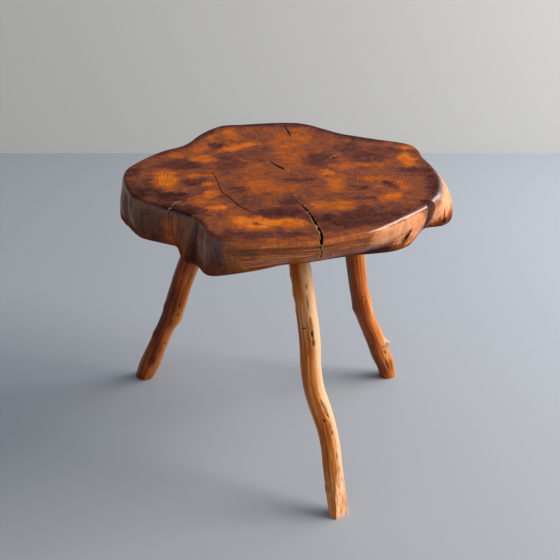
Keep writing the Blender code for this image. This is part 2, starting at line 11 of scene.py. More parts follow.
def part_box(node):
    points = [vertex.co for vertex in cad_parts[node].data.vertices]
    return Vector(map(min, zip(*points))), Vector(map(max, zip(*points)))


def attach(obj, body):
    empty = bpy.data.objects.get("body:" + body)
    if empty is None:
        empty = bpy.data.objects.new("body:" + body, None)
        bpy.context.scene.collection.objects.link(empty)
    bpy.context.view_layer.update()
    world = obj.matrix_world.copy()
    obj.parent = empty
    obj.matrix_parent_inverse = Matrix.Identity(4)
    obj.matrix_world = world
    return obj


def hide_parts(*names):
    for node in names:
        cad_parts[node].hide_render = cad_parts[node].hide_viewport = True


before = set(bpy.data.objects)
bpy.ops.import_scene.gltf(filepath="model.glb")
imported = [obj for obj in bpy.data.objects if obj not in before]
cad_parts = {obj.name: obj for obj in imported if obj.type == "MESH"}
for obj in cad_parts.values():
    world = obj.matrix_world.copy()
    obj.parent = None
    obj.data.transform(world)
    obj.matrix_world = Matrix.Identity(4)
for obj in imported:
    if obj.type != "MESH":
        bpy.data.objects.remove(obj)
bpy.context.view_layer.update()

MM = 0.001

# Noise vectors take their offsets from this seed, so every run draws the same patches
noise.seed_set(1)

# The slab's size and place come from its solid

slab_low, slab_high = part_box("slab")
table_height = slab_high.z
slab_thickness = slab_high.z - slab_low.z
slab_half_width = 0.247
slab_half_depth = 0.234
corner_round = 0.020
foot_round = 0.004
fold_depth = 0.005
bark_waviness = 0.0013
belly_depth_share = 0.45

# Going round the slab from +X: the turn in degrees, then the rim, the belly and the underside as shares
# of the slab's half width and half depth
live_edge_shares = (
    (0, 1.000, 1.076, 1.096), (6, 0.995, 1.076, 1.090), (12, 0.992, 1.068, 1.068),
    (18, 0.990, 1.055, 1.040), (23, 1.000, 1.050, 1.025), (28, 1.035, 1.055, 1.020),
    (33, 1.045, 1.050, 1.010), (38, 1.010, 1.020, 0.990), (45, 0.948, 0.970, 0.950),
    (54, 0.905, 0.930, 0.920), (63, 0.892, 0.915, 0.900), (72, 0.935, 0.950, 0.930),
    (78, 0.980, 0.995, 0.960), (84, 1.005, 1.020, 0.980), (98, 0.998, 1.015, 0.970),
    (106, 1.003, 1.010, 0.960), (113, 1.028, 1.030, 0.970), (119, 0.998, 1.010, 0.960),
    (126, 0.945, 0.965, 0.945), (134, 0.880, 0.910, 0.900), (141, 0.866, 0.890, 0.890),
    (149, 0.905, 0.930, 0.920), (157, 0.938, 0.965, 0.940), (165, 0.972, 0.990, 0.985),
    (172, 1.003, 1.012, 1.010), (179, 1.000, 1.018, 1.030), (186, 0.985, 1.012, 1.012),
    (192, 0.970, 1.000, 0.976), (198, 0.955, 0.986, 0.964), (203, 0.925, 0.965, 0.940),
    (210, 0.875, 0.910, 0.868), (217, 0.832, 0.850, 0.812), (220, 0.822, 0.836, 0.818),
    (223, 0.812, 0.832, 0.848), (227, 0.810, 0.846, 0.886), (232, 0.818, 0.872, 0.918),
    (236, 0.855, 0.890, 0.912), (239, 0.895, 0.920, 0.940), (243, 0.985, 0.985, 0.988),
    (246, 1.025, 1.016, 0.992), (249, 1.045, 1.030, 0.962), (254, 1.042, 1.020, 0.902),
    (262, 1.012, 0.985, 0.822), (270, 0.988, 0.955, 0.750), (279, 0.972, 0.938, 0.732),
    (288, 0.963, 0.930, 0.722), (297, 0.963, 0.930, 0.728), (306, 0.970, 0.940, 0.760),
    (314, 0.966, 0.945, 0.825), (321, 0.965, 0.955, 0.890), (328, 0.980, 0.975, 0.920),
    (335, 1.002, 0.990, 0.905), (341, 1.012, 1.010, 0.895), (347, 1.015, 1.040, 0.945),
    (350, 1.012, 1.052, 1.040), (354, 1.006, 1.066, 1.086),
)

# Going round from +X: the turn in degrees, and how far the worn shoulder rounds over as a share of the
# round corner at the front left
shoulder_shares = (
    (0, 0.30), (40, 0.28), (90, 0.30), (150, 0.30), (186, 0.25), (205, 0.18), (224, 0.20), (236, 0.40),
    (245, 1.00), (252, 1.00), (262, 0.60), (280, 0.50), (300, 0.50), (318, 0.45), (331, 0.40), (342, 0.55),
)

# Folds and flutes down the side: the turn at the top and at the underside and the half width in degrees,
# how far the wood stands out (+) or in (-) as a share of the deepest fold, and the depth shares between
# which it shows
fold_shares = (
    (186.0, 190.0, 3.0, 0.30, 0.30, 1.00), (190.0, 199.0, 2.6, -0.84, 0.10, 1.00),
    (205.0, 204.0, 2.2, 0.36, 0.15, 1.00), (210.0, 209.0, 2.6, -0.40, 0.20, 0.95),
    (216.0, 217.0, 1.8, 0.24, 0.05, 1.00), (223.0, 223.5, 1.6, -0.36, 0.15, 1.00),
    (226.5, 227.5, 1.6, 0.24, 0.15, 1.00), (232.5, 234.0, 2.0, -0.96, 0.04, 1.00),
    (238.0, 238.5, 1.5, 0.20, 0.10, 1.00), (248.0, 248.5, 2.8, -0.60, 0.24, 0.74),
    (323.5, 322.0, 2.2, -0.30, 0.50, 0.95), (345.0, 344.0, 2.2, 0.24, 0.20, 0.90),
    (351.0, 352.0, 2.0, -0.32, 0.20, 1.00), (358.0, 359.0, 2.6, 0.10, 0.10, 1.00),
    (10.0, 9.0, 3.0, -0.60, 0.10, 1.00), (22.0, 22.0, 2.6, -0.44, 0.20, 1.00),
    (41.0, 43.0, 2.6, -0.60, 0.10, 1.00), (58.0, 57.0, 3.0, -0.50, 0.10, 1.00),
    (70.0, 71.0, 2.4, 0.36, 0.10, 1.00), (91.0, 90.0, 2.6, -0.44, 0.10, 1.00),
    (109.0, 110.0, 2.2, -0.40, 0.10, 1.00), (128.0, 127.0, 3.0, -0.70, 0.10, 1.00),
    (139.0, 140.0, 2.4, -0.50, 0.10, 1.00), (153.0, 152.0, 2.6, -0.40, 0.10, 1.00),
    (168.0, 169.0, 2.6, -0.56, 0.10, 1.00), (177.0, 177.0, 2.2, 0.30, 0.10, 1.00),
)


# Colours, nodes and pieces


def linear(code):
    """An sRGB hex colour as the linear RGBA that the shaders want."""
    channels = [int(code[i:i + 2], 16) / 255 for i in (1, 3, 5)]
    curve = [c / 12.92 if c <= 0.04045 else ((c + 0.055) / 1.055) ** 2.4 for c in channels]
    return (*curve, 1.0)


def add(tree, kind, inputs=None, out=0, stops=(), **settings):
    """Add one node with its settings and links, and give one of its outputs."""
    node = tree.nodes.new("ShaderNode" + kind)
    for name, value in settings.items():
        setattr(node, name, value)
    for key, value in (inputs or {}).items():
        if isinstance(value, bpy.types.NodeSocket):
            tree.links.new(value, node.inputs[key])
        else:
            node.inputs[key].default_value = linear(value) if isinstance(value, str) else value
    for number, (place, code) in enumerate(stops):
        if number > 1:
            node.color_ramp.elements.new(place)
        node.color_ramp.elements[number].position = place
        node.color_ramp.elements[number].color = linear(code)
    return node.outputs[out]


def new_material(name, specular):
    """A material with its tree and its shader, at the index of a varnish or a dry fibre."""
    finish = bpy.data.materials.new(name)
    finish.use_nodes = True
    shader = finish.node_tree.nodes["Principled BSDF"]
    shader.inputs["IOR"].default_value = 1.48
    shader.inputs["Specular IOR Level"].default_value = specular
    return finish, finish.node_tree, shader


def finish_wood(tree, shader, colour, roughness, height, depth, strength):
    """Link a wood's colour, roughness and bump, whose depth is in metres."""
    normal = add(tree, "Bump", {"Height": height, "Distance": depth, "Strength": strength})
    for socket, value in (("Base Color", colour), ("Roughness", roughness), ("Normal", normal)):
        tree.links.new(value, shader.inputs[socket])


def to_mesh(name, bm, *finishes):
    """A finished bmesh as a mesh with its finishes."""
    mesh = bpy.data.meshes.new(name)
    bm.to_mesh(mesh)
    bm.free()
    for finish in finishes:
        mesh.materials.append(finish)
    return mesh


def add_object(name, data):
    """A new object in the scene for a mesh, a lamp or a camera."""
    thing = bpy.data.objects.new(name, data)
    bpy.context.scene.collection.objects.link(thing)
    return thing


def show(name, mesh, nodes):
    """Link a finished mesh as a piece that may stand for CAD nodes."""
    mesh.name = name
    piece = add_object(name, mesh)
    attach(piece, "root")
    if nodes:
        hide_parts(*nodes)


# Shapes


def ball_rows(bm, rows, steps):
    """Start a skin as a ball and give each vertex with its row from the top and its turn in degrees."""
    bmesh.ops.create_uvsphere(bm, u_segments=steps, v_segments=rows, radius=1.0)
    places = []
    for vertex in bm.verts:
        x, y, z = vertex.co
        row = round(math.acos(max(-1.0, min(1.0, z))) / math.pi * rows)
        places.append((vertex, row, math.degrees(math.atan2(y, x)) % 360.0))
    return places


def skin(bm, rings):
    """Bridge closed loops of points and fill both ends."""
    loops = []
    for ring in rings:
        verts = [bm.verts.new(point) for point in ring]
        loops.append([bm.edges.new((verts[i], verts[i - 1])) for i in range(len(verts))])
    for first, second in zip(loops, loops[1:]):
        bmesh.ops.bridge_loops(bm, edges=first + second)
    for ring in (loops[0], loops[-1]):
        bmesh.ops.edgeloop_fill(bm, edges=ring)


def rod(bm, centre, axis, length, radius, end_radius, steps):
    """Add a straight round rod, which may taper."""
    turn = Vector((0.0, 0.0, 1.0)).rotation_difference(axis).to_matrix().to_4x4()
    bmesh.ops.create_cone(bm, cap_ends=True, segments=steps, radius1=radius, radius2=end_radius,
                          depth=length, matrix=Matrix.Translation(centre) @ turn)


def temporary(name, bm, *finishes):
    """An object for one cut, removed when the cut is made."""
    bmesh.ops.recalc_face_normals(bm, faces=bm.faces)
    return add_object(name, to_mesh(name, bm, *finishes))


def carve(bm, changes, finishes):
    """Cut and join a blank, with each new face in its cutter's finish, and return the mesh."""
    body = temporary("blank", bm, *finishes)
    for operation, other in changes:
        change = body.modifiers.new(other.name, "BOOLEAN")
        change.object = other
        change.operation = operation
        change.solver = "EXACT"
        change.material_mode = "TRANSFER"
    graph = bpy.context.evaluated_depsgraph_get()
    mesh = bpy.data.meshes.new_from_object(body.evaluated_get(graph))
    for piece in [body] + [other for operation, other in changes]:
        bpy.data.objects.remove(piece, do_unlink=True)
    return mesh


def cut_flat(bm, place, facing):
    """Saw a blank flat through a place and close the cut with a face in the second finish."""
    sawn = bmesh.ops.bisect_plane(bm, geom=bm.verts[:] + bm.edges[:] + bm.faces[:], plane_co=place,
                                  plane_no=facing, clear_outer=True)
    rim = [item for item in sawn["geom_cut"] if isinstance(item, bmesh.types.BMEdge)]
    for face in bmesh.ops.edgeloop_fill(bm, edges=rim)["faces"]:
        face.material_index = 1


def cubic(s, span, start, end, slope_start, slope_end):
    """A smooth step from one value to the next, on a cubic with the given slopes."""
    return (start * (2 * s ** 3 - 3 * s ** 2 + 1) + slope_start * (span * (s ** 3 - 2 * s ** 2 + s))
            + end * (3 * s ** 2 - 2 * s ** 3) + slope_end * (span * (s ** 3 - s ** 2)))


def smooth_round(rows, column, turn):
    """Read one column of a closed table at any turn, on a cubic through its rows."""
    count = len(rows)
    after = next((i for i, row in enumerate(rows) if row[0] > turn), 0)
    knots = []
    for offset in (-2, -1, 0, 1):
        index = after + offset
        lap = math.floor(index / count)
        if after == 0 and turn >= rows[-1][0]:
            lap += 1
        knots.append((rows[index % count][0] + 360.0 * lap, rows[index % count][column]))
    (t0, v0), (t1, v1), (t2, v2), (t3, v3) = knots
    span = t2 - t1
    return cubic((turn - t1) / span, span, v1, v2, (v2 - v0) / (t2 - t0), (v3 - v1) / (t3 - t1))


def side_share(rim, belly, foot, depth_share):
    """How far out the side lies at a depth: a curve through rim, belly and underside."""
    b = belly_depth_share
    s = depth_share
    return (rim * (s - b) * (s - 1) / b + belly * s * (s - 1) / (b * (b - 1)) + foot * s * (s - b) / (1 - b))


def ramped(value, low, high):
    """0 below low, 1 above high, smooth between."""
    s = min(max((value - low) / (high - low), 0.0), 1.0)
    return s * s * (3 - 2 * s)


def between(value, low, high, past, end):
    """0 below low, 1 from high to past and 0 again above end, smooth between."""
    return ramped(value, low, high) * (1 - ramped(value, past, end))


def turn_between(turn, centre):
    """The way from a centre to a turn, in degrees either side."""
    return (turn - centre + 180.0) % 360.0 - 180.0


def bell(distance):
    """1 at no distance, fading to nothing past two."""
    return math.exp(-distance * distance)


def heading(turn):
    """The level direction at a turn in degrees."""
    angle = math.radians(turn)
    return Vector((math.cos(angle), math.sin(angle), 0.0))


def within(place, low, high):
    """The place, held inside a box."""
    return Vector(min(max(p, a), b) for p, a, b in zip(place, low, high))


# The slab's skin

slab_turn_steps = 560
edge_table = [[smooth_round(live_edge_shares, column, 360.0 * step / slab_turn_steps) for column in (1, 2, 3)]
              + [corner_round * smooth_round(shoulder_shares, 1, 360.0 * step / slab_turn_steps)]
              for step in range(slab_turn_steps)]


def edge_at(turn):
    """Rim, belly and underside shares and the shoulder's radius at a turn, read from the fine table."""
    place = (turn % 360.0) / 360.0 * slab_turn_steps
    index = int(place) % slab_turn_steps
    part = place - int(place)
    near, far = edge_table[index], edge_table[(index + 1) % slab_turn_steps]
    return [a + (b - a) * part for a, b in zip(near, far)]


def plan_place(turn, out_share, relief=0.0, height=0.0):
    """A point round the slab's middle: out in shares of its half width and depth, then a relief in metres."""
    way = heading(turn)
    return Vector(((slab_half_width * out_share + relief) * way.x,
                   (slab_half_depth * out_share + relief) * way.y, height))


def bark_noise(turn, depth_share, around, down, lift=0.0):
    """Noise that closes on itself round the slab, with its scales round the slab and down it."""
    return noise.noise(heading(turn) * around + Vector((0.0, 0.0, depth_share * down + lift)))


# Depth shares between which the relief of the side comes in and goes out again
relief_fade = (0.0, 0.16, 0.93, 1.0)
fold_fade_in = 0.12
fold_fade_before = 0.06
fold_fade_after = 0.12
fold_reach = 2.5
undercut_turns = (249.0, 257.0, 306.0, 318.0)


def side_form(turn, depth_share):
    """How far the solid stands out from the smooth side: its slow waves, folds and flutes."""
    relief = bark_noise(turn, depth_share, 5.0, 0.8) * bark_waviness
    for top_turn, foot_turn, half_width, height_share, start, end in fold_shares:
        distance = turn_between(turn, top_turn + (foot_turn - top_turn) * depth_share) / half_width
        if abs(distance) < fold_reach:
            shown = between(depth_share, start - fold_fade_in, start + fold_fade_in,
                            end - fold_fade_before, end + fold_fade_after)
            relief += fold_depth * height_share * bell(distance) * shown
    return relief * between(depth_share, *relief_fade)


def undercut(turn):
    """1 along the undercut front, whose face crosses the growth layers, and 0 elsewhere."""
    return between(turn, *undercut_turns)


rib_height = 1.1 * MM
fine_rib_height = 0.5 * MM
front_ridge_height = 1.3 * MM
front_rib_loss_share = 0.75

# Levels down the side at which the outline is measured, from below the worn shoulder to the foot
first_level = 3
last_level = 11


def side_relief(turn, depth_share):
    """The solid's form with the finer ribs of the peeled trunk, and ridges along the cut front."""
    front = undercut(turn)
    ribs = (bark_noise(turn, depth_share, 17.0, 0.5, 7.0) * rib_height
            + bark_noise(turn, depth_share, 48.0, 1.5, 3.0) * fine_rib_height)
    ridges = bark_noise(turn, depth_share, 2.6, 9.0) * front_ridge_height
    relief = ribs * (1 - front_rib_loss_share * front) + ridges * front
    return side_form(turn, depth_share) + relief * between(depth_share, *relief_fade)


def find_slab_middle():
    """The point that the outline is drawn round, set so that the outline fills the solid's box."""
    places = []
    for step, (rim, belly, foot, rounding) in enumerate(edge_table):
        turn = 360.0 * step / slab_turn_steps
        for level in range(first_level, last_level + 1):
            depth_share = level / last_level * (1 - foot_round / slab_thickness)
            out_share = side_share(rim, belly, foot, depth_share)
            places.append(plan_place(turn, out_share, side_form(turn, depth_share)))
    xs, ys, heights = zip(*places)
    middle = (slab_low + slab_high) / 2
    return Vector((middle.x - (min(xs) + max(xs)) / 2, middle.y - (min(ys) + max(ys)) / 2, 0.0))


slab_middle = find_slab_middle()

cap_rows = 84
shoulder_rows = 8
side_rows = 30
foot_rows = 3
base_rows = 12
cap_waviness = 0.4 * MM
cap_wave_length = 60 * MM
cap_level_share = 0.85


def slab_rows():
    """The skin from the middle of the top, over the shoulder and down the side, to the middle underneath."""
    rows = [("cap", i / cap_rows) for i in range(cap_rows)]
    rows += [("shoulder", i / shoulder_rows) for i in range(shoulder_rows)]
    rows += [("side", i / side_rows) for i in range(side_rows)]
    rows += [("foot", i / foot_rows) for i in range(foot_rows)]
    rows += [("base", 1 - i / base_rows) for i in range(base_rows + 1)]
    return rows


def slab_place(zone, share, turn):
    """A point of the slab's skin in its own zone."""
    rim, belly, foot, rounding = edge_at(turn)
    radial = 1.0
    lean = share * math.pi / 2
    if zone == "cap":
        depth, inset, radial = 0.0, rounding, share
    elif zone == "shoulder":
        depth, inset = rounding * (1 - math.cos(lean)), rounding * (1 - math.sin(lean))
    elif zone == "side":
        depth, inset = rounding + (slab_thickness - foot_round - rounding) * share, 0.0
    elif zone == "foot":
        depth, inset = slab_thickness - foot_round * (1 - math.sin(lean)), foot_round * (1 - math.cos(lean))
    else:
        depth, inset, radial = slab_thickness, foot_round, share
    depth_share = depth / slab_thickness
    out_share = side_share(rim, belly, foot, depth_share)
    place = plan_place(turn, out_share, side_relief(turn, depth_share) - inset) * radial
    height = table_height - depth
    if zone == "cap":
        wave = 0.5 + 0.5 * noise.noise(place / cap_wave_length)
        height -= cap_waviness * wave * (1 - ramped(radial, cap_level_share, 1.0))
    place.z = height
    return within(place + slab_middle, slab_low, slab_high)


def slab_blank():
    """The lobed slice before its checks are opened, as a ball pushed into shape."""
    rows = slab_rows()
    bm = bmesh.new()
    for vertex, row, turn in ball_rows(bm, len(rows) - 1, slab_turn_steps):
        vertex.co = slab_place(*rows[row], turn)
    return bm


# Drying checks: a path in shares of the half depth with the opening at each point, then the width in
# metres, how far down it goes as a share of the thickness, and how ragged its line is in metres
splits = {
    "front_check": (((0.078, -0.27, 0.1), (0.092, -0.31, 0.16), (0.112, -0.4, 0.3), (0.14, -0.47, 0.55),
                     (0.177, -0.558, 0.95), (0.21, -0.69, 1.05), (0.238, -0.826, 1.05),
                     (0.25, -0.938, 1.1), (0.252, -1.1, 0.9)),
                    4.4 * MM, 0.72, 0.9 * MM),
    "left_check": (((-0.5, -0.225, 0.18), (-0.576, -0.313, 0.55), (-0.628, -0.36, 0.8),
                    (-0.684, -0.422, 0.8), (-0.706, -0.48, 0.45), (-0.735, -0.6, 0.35)),
                   2.8 * MM, 1.20, 0.7 * MM),
    "heart_check": (((-0.072, 0.262, 0.15), (-0.045, 0.215, 0.7), (-0.018, 0.175, 1), (0.012, 0.14, 1.1),
                     (0.036, 0.122, 0.8), (0.06, 0.118, 0.18)),
                    4.6 * MM, 0.30, 0.5 * MM),
    "back_check": (((0.078, 0.69, 0.2), (0.066, 0.75, 0.7), (0.053, 0.811, 1), (0.036, 0.88, 0.8),
                    (0.026, 0.93, 0.25)),
                   2.6 * MM, 0.25, 0.5 * MM),
    "far_check": (((0.3, 0.25, 0.25), (0.345, 0.33, 0.7), (0.395, 0.385, 0.6), (0.428, 0.44, 1),
                   (0.47, 0.54, 1.1), (0.523, 0.673, 0.9), (0.56, 0.78, 0.6)),
                  1.5 * MM, 0.12, 0.6 * MM),
    "ring_shake": (((-0.464, 0.077, 0.35), (-0.432, -0.023, 0.7), (-0.384, -0.25, 0.9),
                    (-0.328, -0.345, 1.1), (-0.261, -0.468, 1.2), (-0.195, -0.543, 1),
                    (-0.131, -0.587, 0.8), (-0.068, -0.624, 0.6), (-0.005, -0.646, 0.5),
                    (0.058, -0.646, 0.4)),
                   2.0 * MM, 0.025, 0.5 * MM),
}
split_steps = 5
split_root_share = 0.12
split_ragged_share = 0.7
cutter_overrun = 0.010


def split_points(name):
    """The line of a split as points, the way along it and across it, and its openings to either side."""
    path, width, floor_share, ragged = splits[name]
    fine = []
    for (ax, ay, aw), (bx, by, bw) in zip(path, path[1:]):
        for step in range(split_steps):
            part = step / split_steps
            fine.append((ax + (bx - ax) * part, ay + (by - ay) * part, aw + (bw - aw) * part))
    fine.append(path[-1])
    points = []
    for i, (x, y, opening) in enumerate(fine):
        before, after = fine[max(i - 1, 0)], fine[min(i + 1, len(fine) - 1)]
        along = Vector((after[0] - before[0], after[1] - before[1], 0.0)).normalized()
        across = Vector((-along.y, along.x, 0.0))
        seed = Vector((x * 11.0, y * 11.0, 0.0))
        centre = Vector((x, y, 0.0)) * slab_half_depth + slab_middle + across * noise.noise(seed) * ragged
        left, right = (opening * width / 2 * (1 + split_ragged_share * noise.noise(seed * 3.5 + side))
                       for side in (Vector((5, 0, 0)), Vector((0, 5, 0))))
        points.append((centre, along, across, left, right))
    return points


def split_cutter(bm, name):
    """Add the ragged wedge that opens one check."""
    path, width, floor_share, ragged = splits[name]
    top = table_height + cutter_overrun
    bottom = table_height - slab_thickness * floor_share
    spread = (top - bottom) / (table_height - bottom)
    rings = []
    for centre, along, across, left, right in split_points(name):
        corners = ((left * spread, top), (left * split_root_share, bottom),
                   (-right * split_root_share, bottom), (-right * spread, top))
        rings.append([centre + across * offset + Vector((0, 0, z)) for offset, z in corners])
    skin(bm, rings)


# Gashes in the side: the turn and depth share of each end, width and depth in metres, and how ragged
gashes = (
    (321.5, 0.86, 325.5, 0.40, 0.0080, 0.009, 0.9),
    (348.6, 0.42, 349.6, 0.80, 0.0026, 0.007, 0.5),
    (218.4, 0.10, 219.4, 0.98, 0.0012, 0.003, 0.3),
)
gash_steps = 12
gash_end_share = 0.08
gash_half_width_share = 0.7
gash_wave_rate = 9.0
gash_side_shift = 4.0


def side_point(turn, depth_share):
    """A point on the side's skin."""
    rim, belly, foot, rounding = edge_at(turn)
    out_share = side_share(rim, belly, foot, depth_share)
    height = table_height - depth_share * slab_thickness
    return plan_place(turn, out_share, side_relief(turn, depth_share), height) + slab_middle


def gash_cutter(bm, gash):
    """Add a ragged slit cut into the side."""
    turn_a, depth_a, turn_b, depth_b, width, depth, ragged = gash
    rings = []
    for step in range(gash_steps + 1):
        part = step / gash_steps
        turn = turn_a + (turn_b - turn_a) * part
        centre = side_point(turn, depth_a + (depth_b - depth_a) * part)
        inward = -heading(turn)
        across = Vector((-inward.y, inward.x, 0.0))
        open_share = math.sin(math.pi * (gash_end_share + (1 - 2 * gash_end_share) * part))
        half_width = open_share * width * gash_half_width_share
        ends = [half_width * (1 + ragged * noise.noise(Vector((part * gash_wave_rate, turn, shift))))
                for shift in (-gash_side_shift, gash_side_shift)]
        face = centre - inward * width
        rings.append([face + across * ends[1], face - across * ends[0], centre + inward * depth * open_share])
    skin(bm, rings)


notch_turn = 336.0
notch_depth = 0.017
notch_width = 0.020
notch_root_width = 0.004
notch_reach_share = 2.0
notch_flare_share = 1.5
slab_sharp_angle = math.radians(38.0)


def notch_cutter():
    """The cleft between the front right of the slab and its right lobe."""
    mouth = plan_place(notch_turn, edge_at(notch_turn)[0])
    outward = mouth.normalized()
    across = Vector((-outward.y, outward.x, 0.0))
    root = mouth - outward * notch_depth + slab_middle
    beyond = mouth + outward * notch_depth * notch_reach_share + slab_middle
    half_root = across * notch_root_width / 2
    half_beyond = across * notch_width * notch_flare_share
    corners = (root - half_root, beyond - half_beyond, beyond + half_beyond, root + half_root)
    bm = bmesh.new()
    skin(bm, [[c + Vector((0, 0, z)) for c in corners]
              for z in (table_height + cutter_overrun, slab_low.z - cutter_overrun)])
    return bm


# Tone of the top: centre and half sizes in millimetres from the middle of the slab, the
# turn in degrees, and how much lighter (+) or darker (-) than the middle tone the patch is
tone_patches = (
    (-45, -165, 40, 22, -14, 0.50), (12, -168, 34, 17, 0, 0.42), (-95, -112, 20, 14, 30, 0.44),
    (-104, -66, 15, 15, 0, 0.36), (-110, -28, 13, 8, 0, 0.40), (-180, -12, 20, 38, 8, 0.40),
    (-128, 4, 26, 9, 0, 0.28), (-128, 72, 22, 17, 0, 0.30), (-170, 86, 14, 17, 0, 0.22),
    (-132, 116, 18, 20, 0, 0.20), (-68, 124, 42, 11, 32, 0.40), (-84, 178, 12, 32, 20, 0.26),
    (-112, 162, 13, 25, 0, 0.18), (18, 168, 38, 42, 0, 0.16), (14, 92, 26, 46, 0, 0.18),
    (74, 16, 12, 14, 30, 0.36), (86, -30, 16, 32, 0, 0.28), (206, 68, 16, 28, 0, 0.42),
    # The first patch here, at (214, 118) on the rim, is a painted highlight where the rim catches the light
    (214, 118, 16, 14, 0, 0.36), (168, -74, 22, 13, 50, 0.32), (78, -108, 38, 19, 0, 0.24),
    (118, 46, 46, 14, 8, 0.18), (152, -8, 36, 12, 0, 0.16), (188, -32, 12, 18, 0, 0.20),
    (-38, -36, 28, 32, -40, 0.20), (-50, 20, 26, 40, 0, 0.10), (5, -45, 30, 20, 0, 0.14),
    (-85, 135, 12, 10, 0, 0.16), (-120, -85, 30, 12, -20, 0.14), (-35, -170, 9, 5, -25, -0.55),
    (-86, -101, 8, 4, -25, -0.45), (-232, 18, 13, 28, 0, -0.24), (-158, 46, 36, 18, 0, -0.24),
    (-108, 124, 8, 14, 0, -0.28), (-86, 58, 24, 36, 0, -0.20), (-50, 92, 16, 14, 0, -0.12),
    (-130, -20, 24, 11, 0, -0.28), (-168, -74, 30, 18, 0, -0.40), (-206, -62, 20, 22, -30, -0.24),
    (-215, -40, 16, 36, 0, -0.18), (-66, -46, 19, 15, 10, -0.34), (-56, -84, 34, 20, -35, -0.14),
    (14, -92, 18, 20, 0, -0.26), (8, -128, 30, 16, 0, -0.30), (-18, -140, 30, 12, -20, -0.22),
    (62, 70, 28, 32, 0, -0.26), (112, 116, 26, 32, 0, -0.20), (142, 76, 26, 28, 0, -0.22),
    (170, -28, 13, 15, 0, -0.36), (122, -40, 9, 11, 0, -0.28), (214, 28, 30, 14, 0, -0.24),
    (238, -30, 16, 60, 0, -0.26), (34, -12, 28, 8, 0, -0.24), (128, -80, 22, 10, 0, -0.20),
    (120, -150, 80, 34, 25, -0.28), (50, -150, 30, 20, 0, -0.22), (-30, -208, 84, 14, 0, -0.22),
    (-150, -118, 46, 18, -28, -0.34), (172, 108, 34, 14, -10, -0.20), (-20, 222, 110, 16, 0, -0.26),
    (118, 172, 70, 18, -26, -0.26), (-140, 178, 16, 50, -38, -0.26), (-190, 112, 60, 16, 32, -0.22),
    (90, -62, 14, 8, 0, -0.12),
)
middle_tone = 0.40
patch_core = 0.48
patch_reach = 1.30
# How the patches' edges wander: the length of each wave and how far it goes across and back, in mm
patch_waves = ((34.0, 9.0, 9.0), (13.0, 6.0, 6.0), (5.5, 7.2, 4.0))
# The rim of the top is darker, from the first share of the way out to the second. Along the undercut
# front the band turns lighter instead, a painted highlight where the front rim catches the light
rim_band = -0.16
rim_band_shares = (0.90, 0.985)
front_rim_highlight_share = 1.6
# The rays meet a little behind the middle of the slab
pith = Vector((0.0, 0.020, 0.0))
patches = [(cx, cy, hx, hy, math.cos(math.radians(turn)), math.sin(math.radians(turn)), change,
            (patch_reach * max(hx, hy)) ** 2) for cx, cy, hx, hy, turn, change in tone_patches]

# Tone of the side: turn in degrees, depth share, half widths in the same, and the change. Some
# patches are painted light: those just below the rim at 268 and 300 degrees are a painted highlight
# along the front rim, the one at 31 degrees a painted highlight on the far right bump, and those at
# 313, 326, 348 and 5 degrees, on the front right facet and the right lobe, are paler wood with a
# painted sheen where the side faces the lamp
side_tone_and_light_patches = (
    (218, 0.60, 4, 0.50, 0.22), (198, 0.60, 3, 0.50, 0.10), (206, 0.06, 14, 0.07, 0.12),
    (300, 0.10, 26, 0.09, 0.26), (268, 0.07, 14, 0.07, 0.34), (280, 0.60, 30, 0.45, 0.18),
    (313, 0.30, 9, 0.30, 0.64), (326, 0.38, 7.5, 0.52, 0.66), (331, 0.20, 3, 0.16, -0.10),
    (323.6, 0.66, 1.6, 0.22, -0.55), (296, 0.72, 24, 0.22, -0.16), (348, 0.42, 7, 0.36, 0.70),
    (350, 0.84, 1.0, 0.07, -0.60), (355, 0.95, 1.2, 0.06, -0.50), (5, 0.36, 14, 0.44, 0.60),
    (31, 0.15, 7, 0.22, 0.46), (205, 0.50, 10, 0.36, -0.14), (248, 0.42, 3.5, 0.26, -0.10),
    (236, 0.55, 6, 0.60, -0.06), (306, 0.84, 15, 0.20, -0.20),
)

side_patch_core = 0.55
side_patch_reach = 1.3
side_patch_drift = 0.45
side_patch_lift = 0.30
ring_reach = 245.0

# Shares of the slab's depth over which its side and its underside begin, and of its width over which
# the underside ends
side_start_shares = (0.02, 0.14)
base_start_shares = (0.985, 0.999)
base_end_shares = (0.97, 1.0)
# The cleft of the notch and the foot of the side are darker: how much, and from where to where
cleft_shade = 0.50
cleft_depth_shares = (0.012, 0.030)
cleft_turns = (8.0, 12.0)
foot_shade = 0.12
foot_shade_shares = (0.70, 0.98)


def ring_place(x, y, turn):
    """Distance out from the pith in millimetres along the fluted growth rings."""
    rim, belly, foot, rounding = edge_at(turn)
    return math.hypot(x, y) / plan_place(turn, belly).length * ring_reach


def patch_tone(x, y):
    """The tone that the patches give at a plan point in millimetres."""
    here = Vector((x, y, 0.0))
    px, py = x, y
    for length, along_x, along_y in patch_waves:
        shift = noise.noise_vector(here / length)
        px += shift.x * along_x
        py += shift.y * along_y
    tone = middle_tone
    for cx, cy, half_x, half_y, cosine, sine, change, reach_squared in patches:
        dx, dy = px - cx, py - cy
        if dx * dx + dy * dy > reach_squared:
            continue
        reach = math.hypot((dx * cosine + dy * sine) / half_x, (dy * cosine - dx * sine) / half_y)
        if reach < patch_reach:
            tone += change * (1 - ramped(reach, patch_core, patch_reach))
    return tone


def side_tone(turn, depth_share):
    """The tone of the peeled side at a turn and a depth, painted highlights and sheen included."""
    tone = middle_tone
    drift = bark_noise(turn, depth_share, 11.0, 2.5)
    lift = bark_noise(turn, depth_share, 8.0, 3.0, 5.0)
    for centre, middle, half_turn, half_depth, change in side_tone_and_light_patches:
        around = turn_between(turn, centre) / half_turn + drift * side_patch_drift
        down = (depth_share - middle) / half_depth + lift * side_patch_lift
        reach = math.hypot(around, down)
        if reach < side_patch_reach:
            tone += change * (1 - ramped(reach, side_patch_core, side_patch_reach))
    return tone


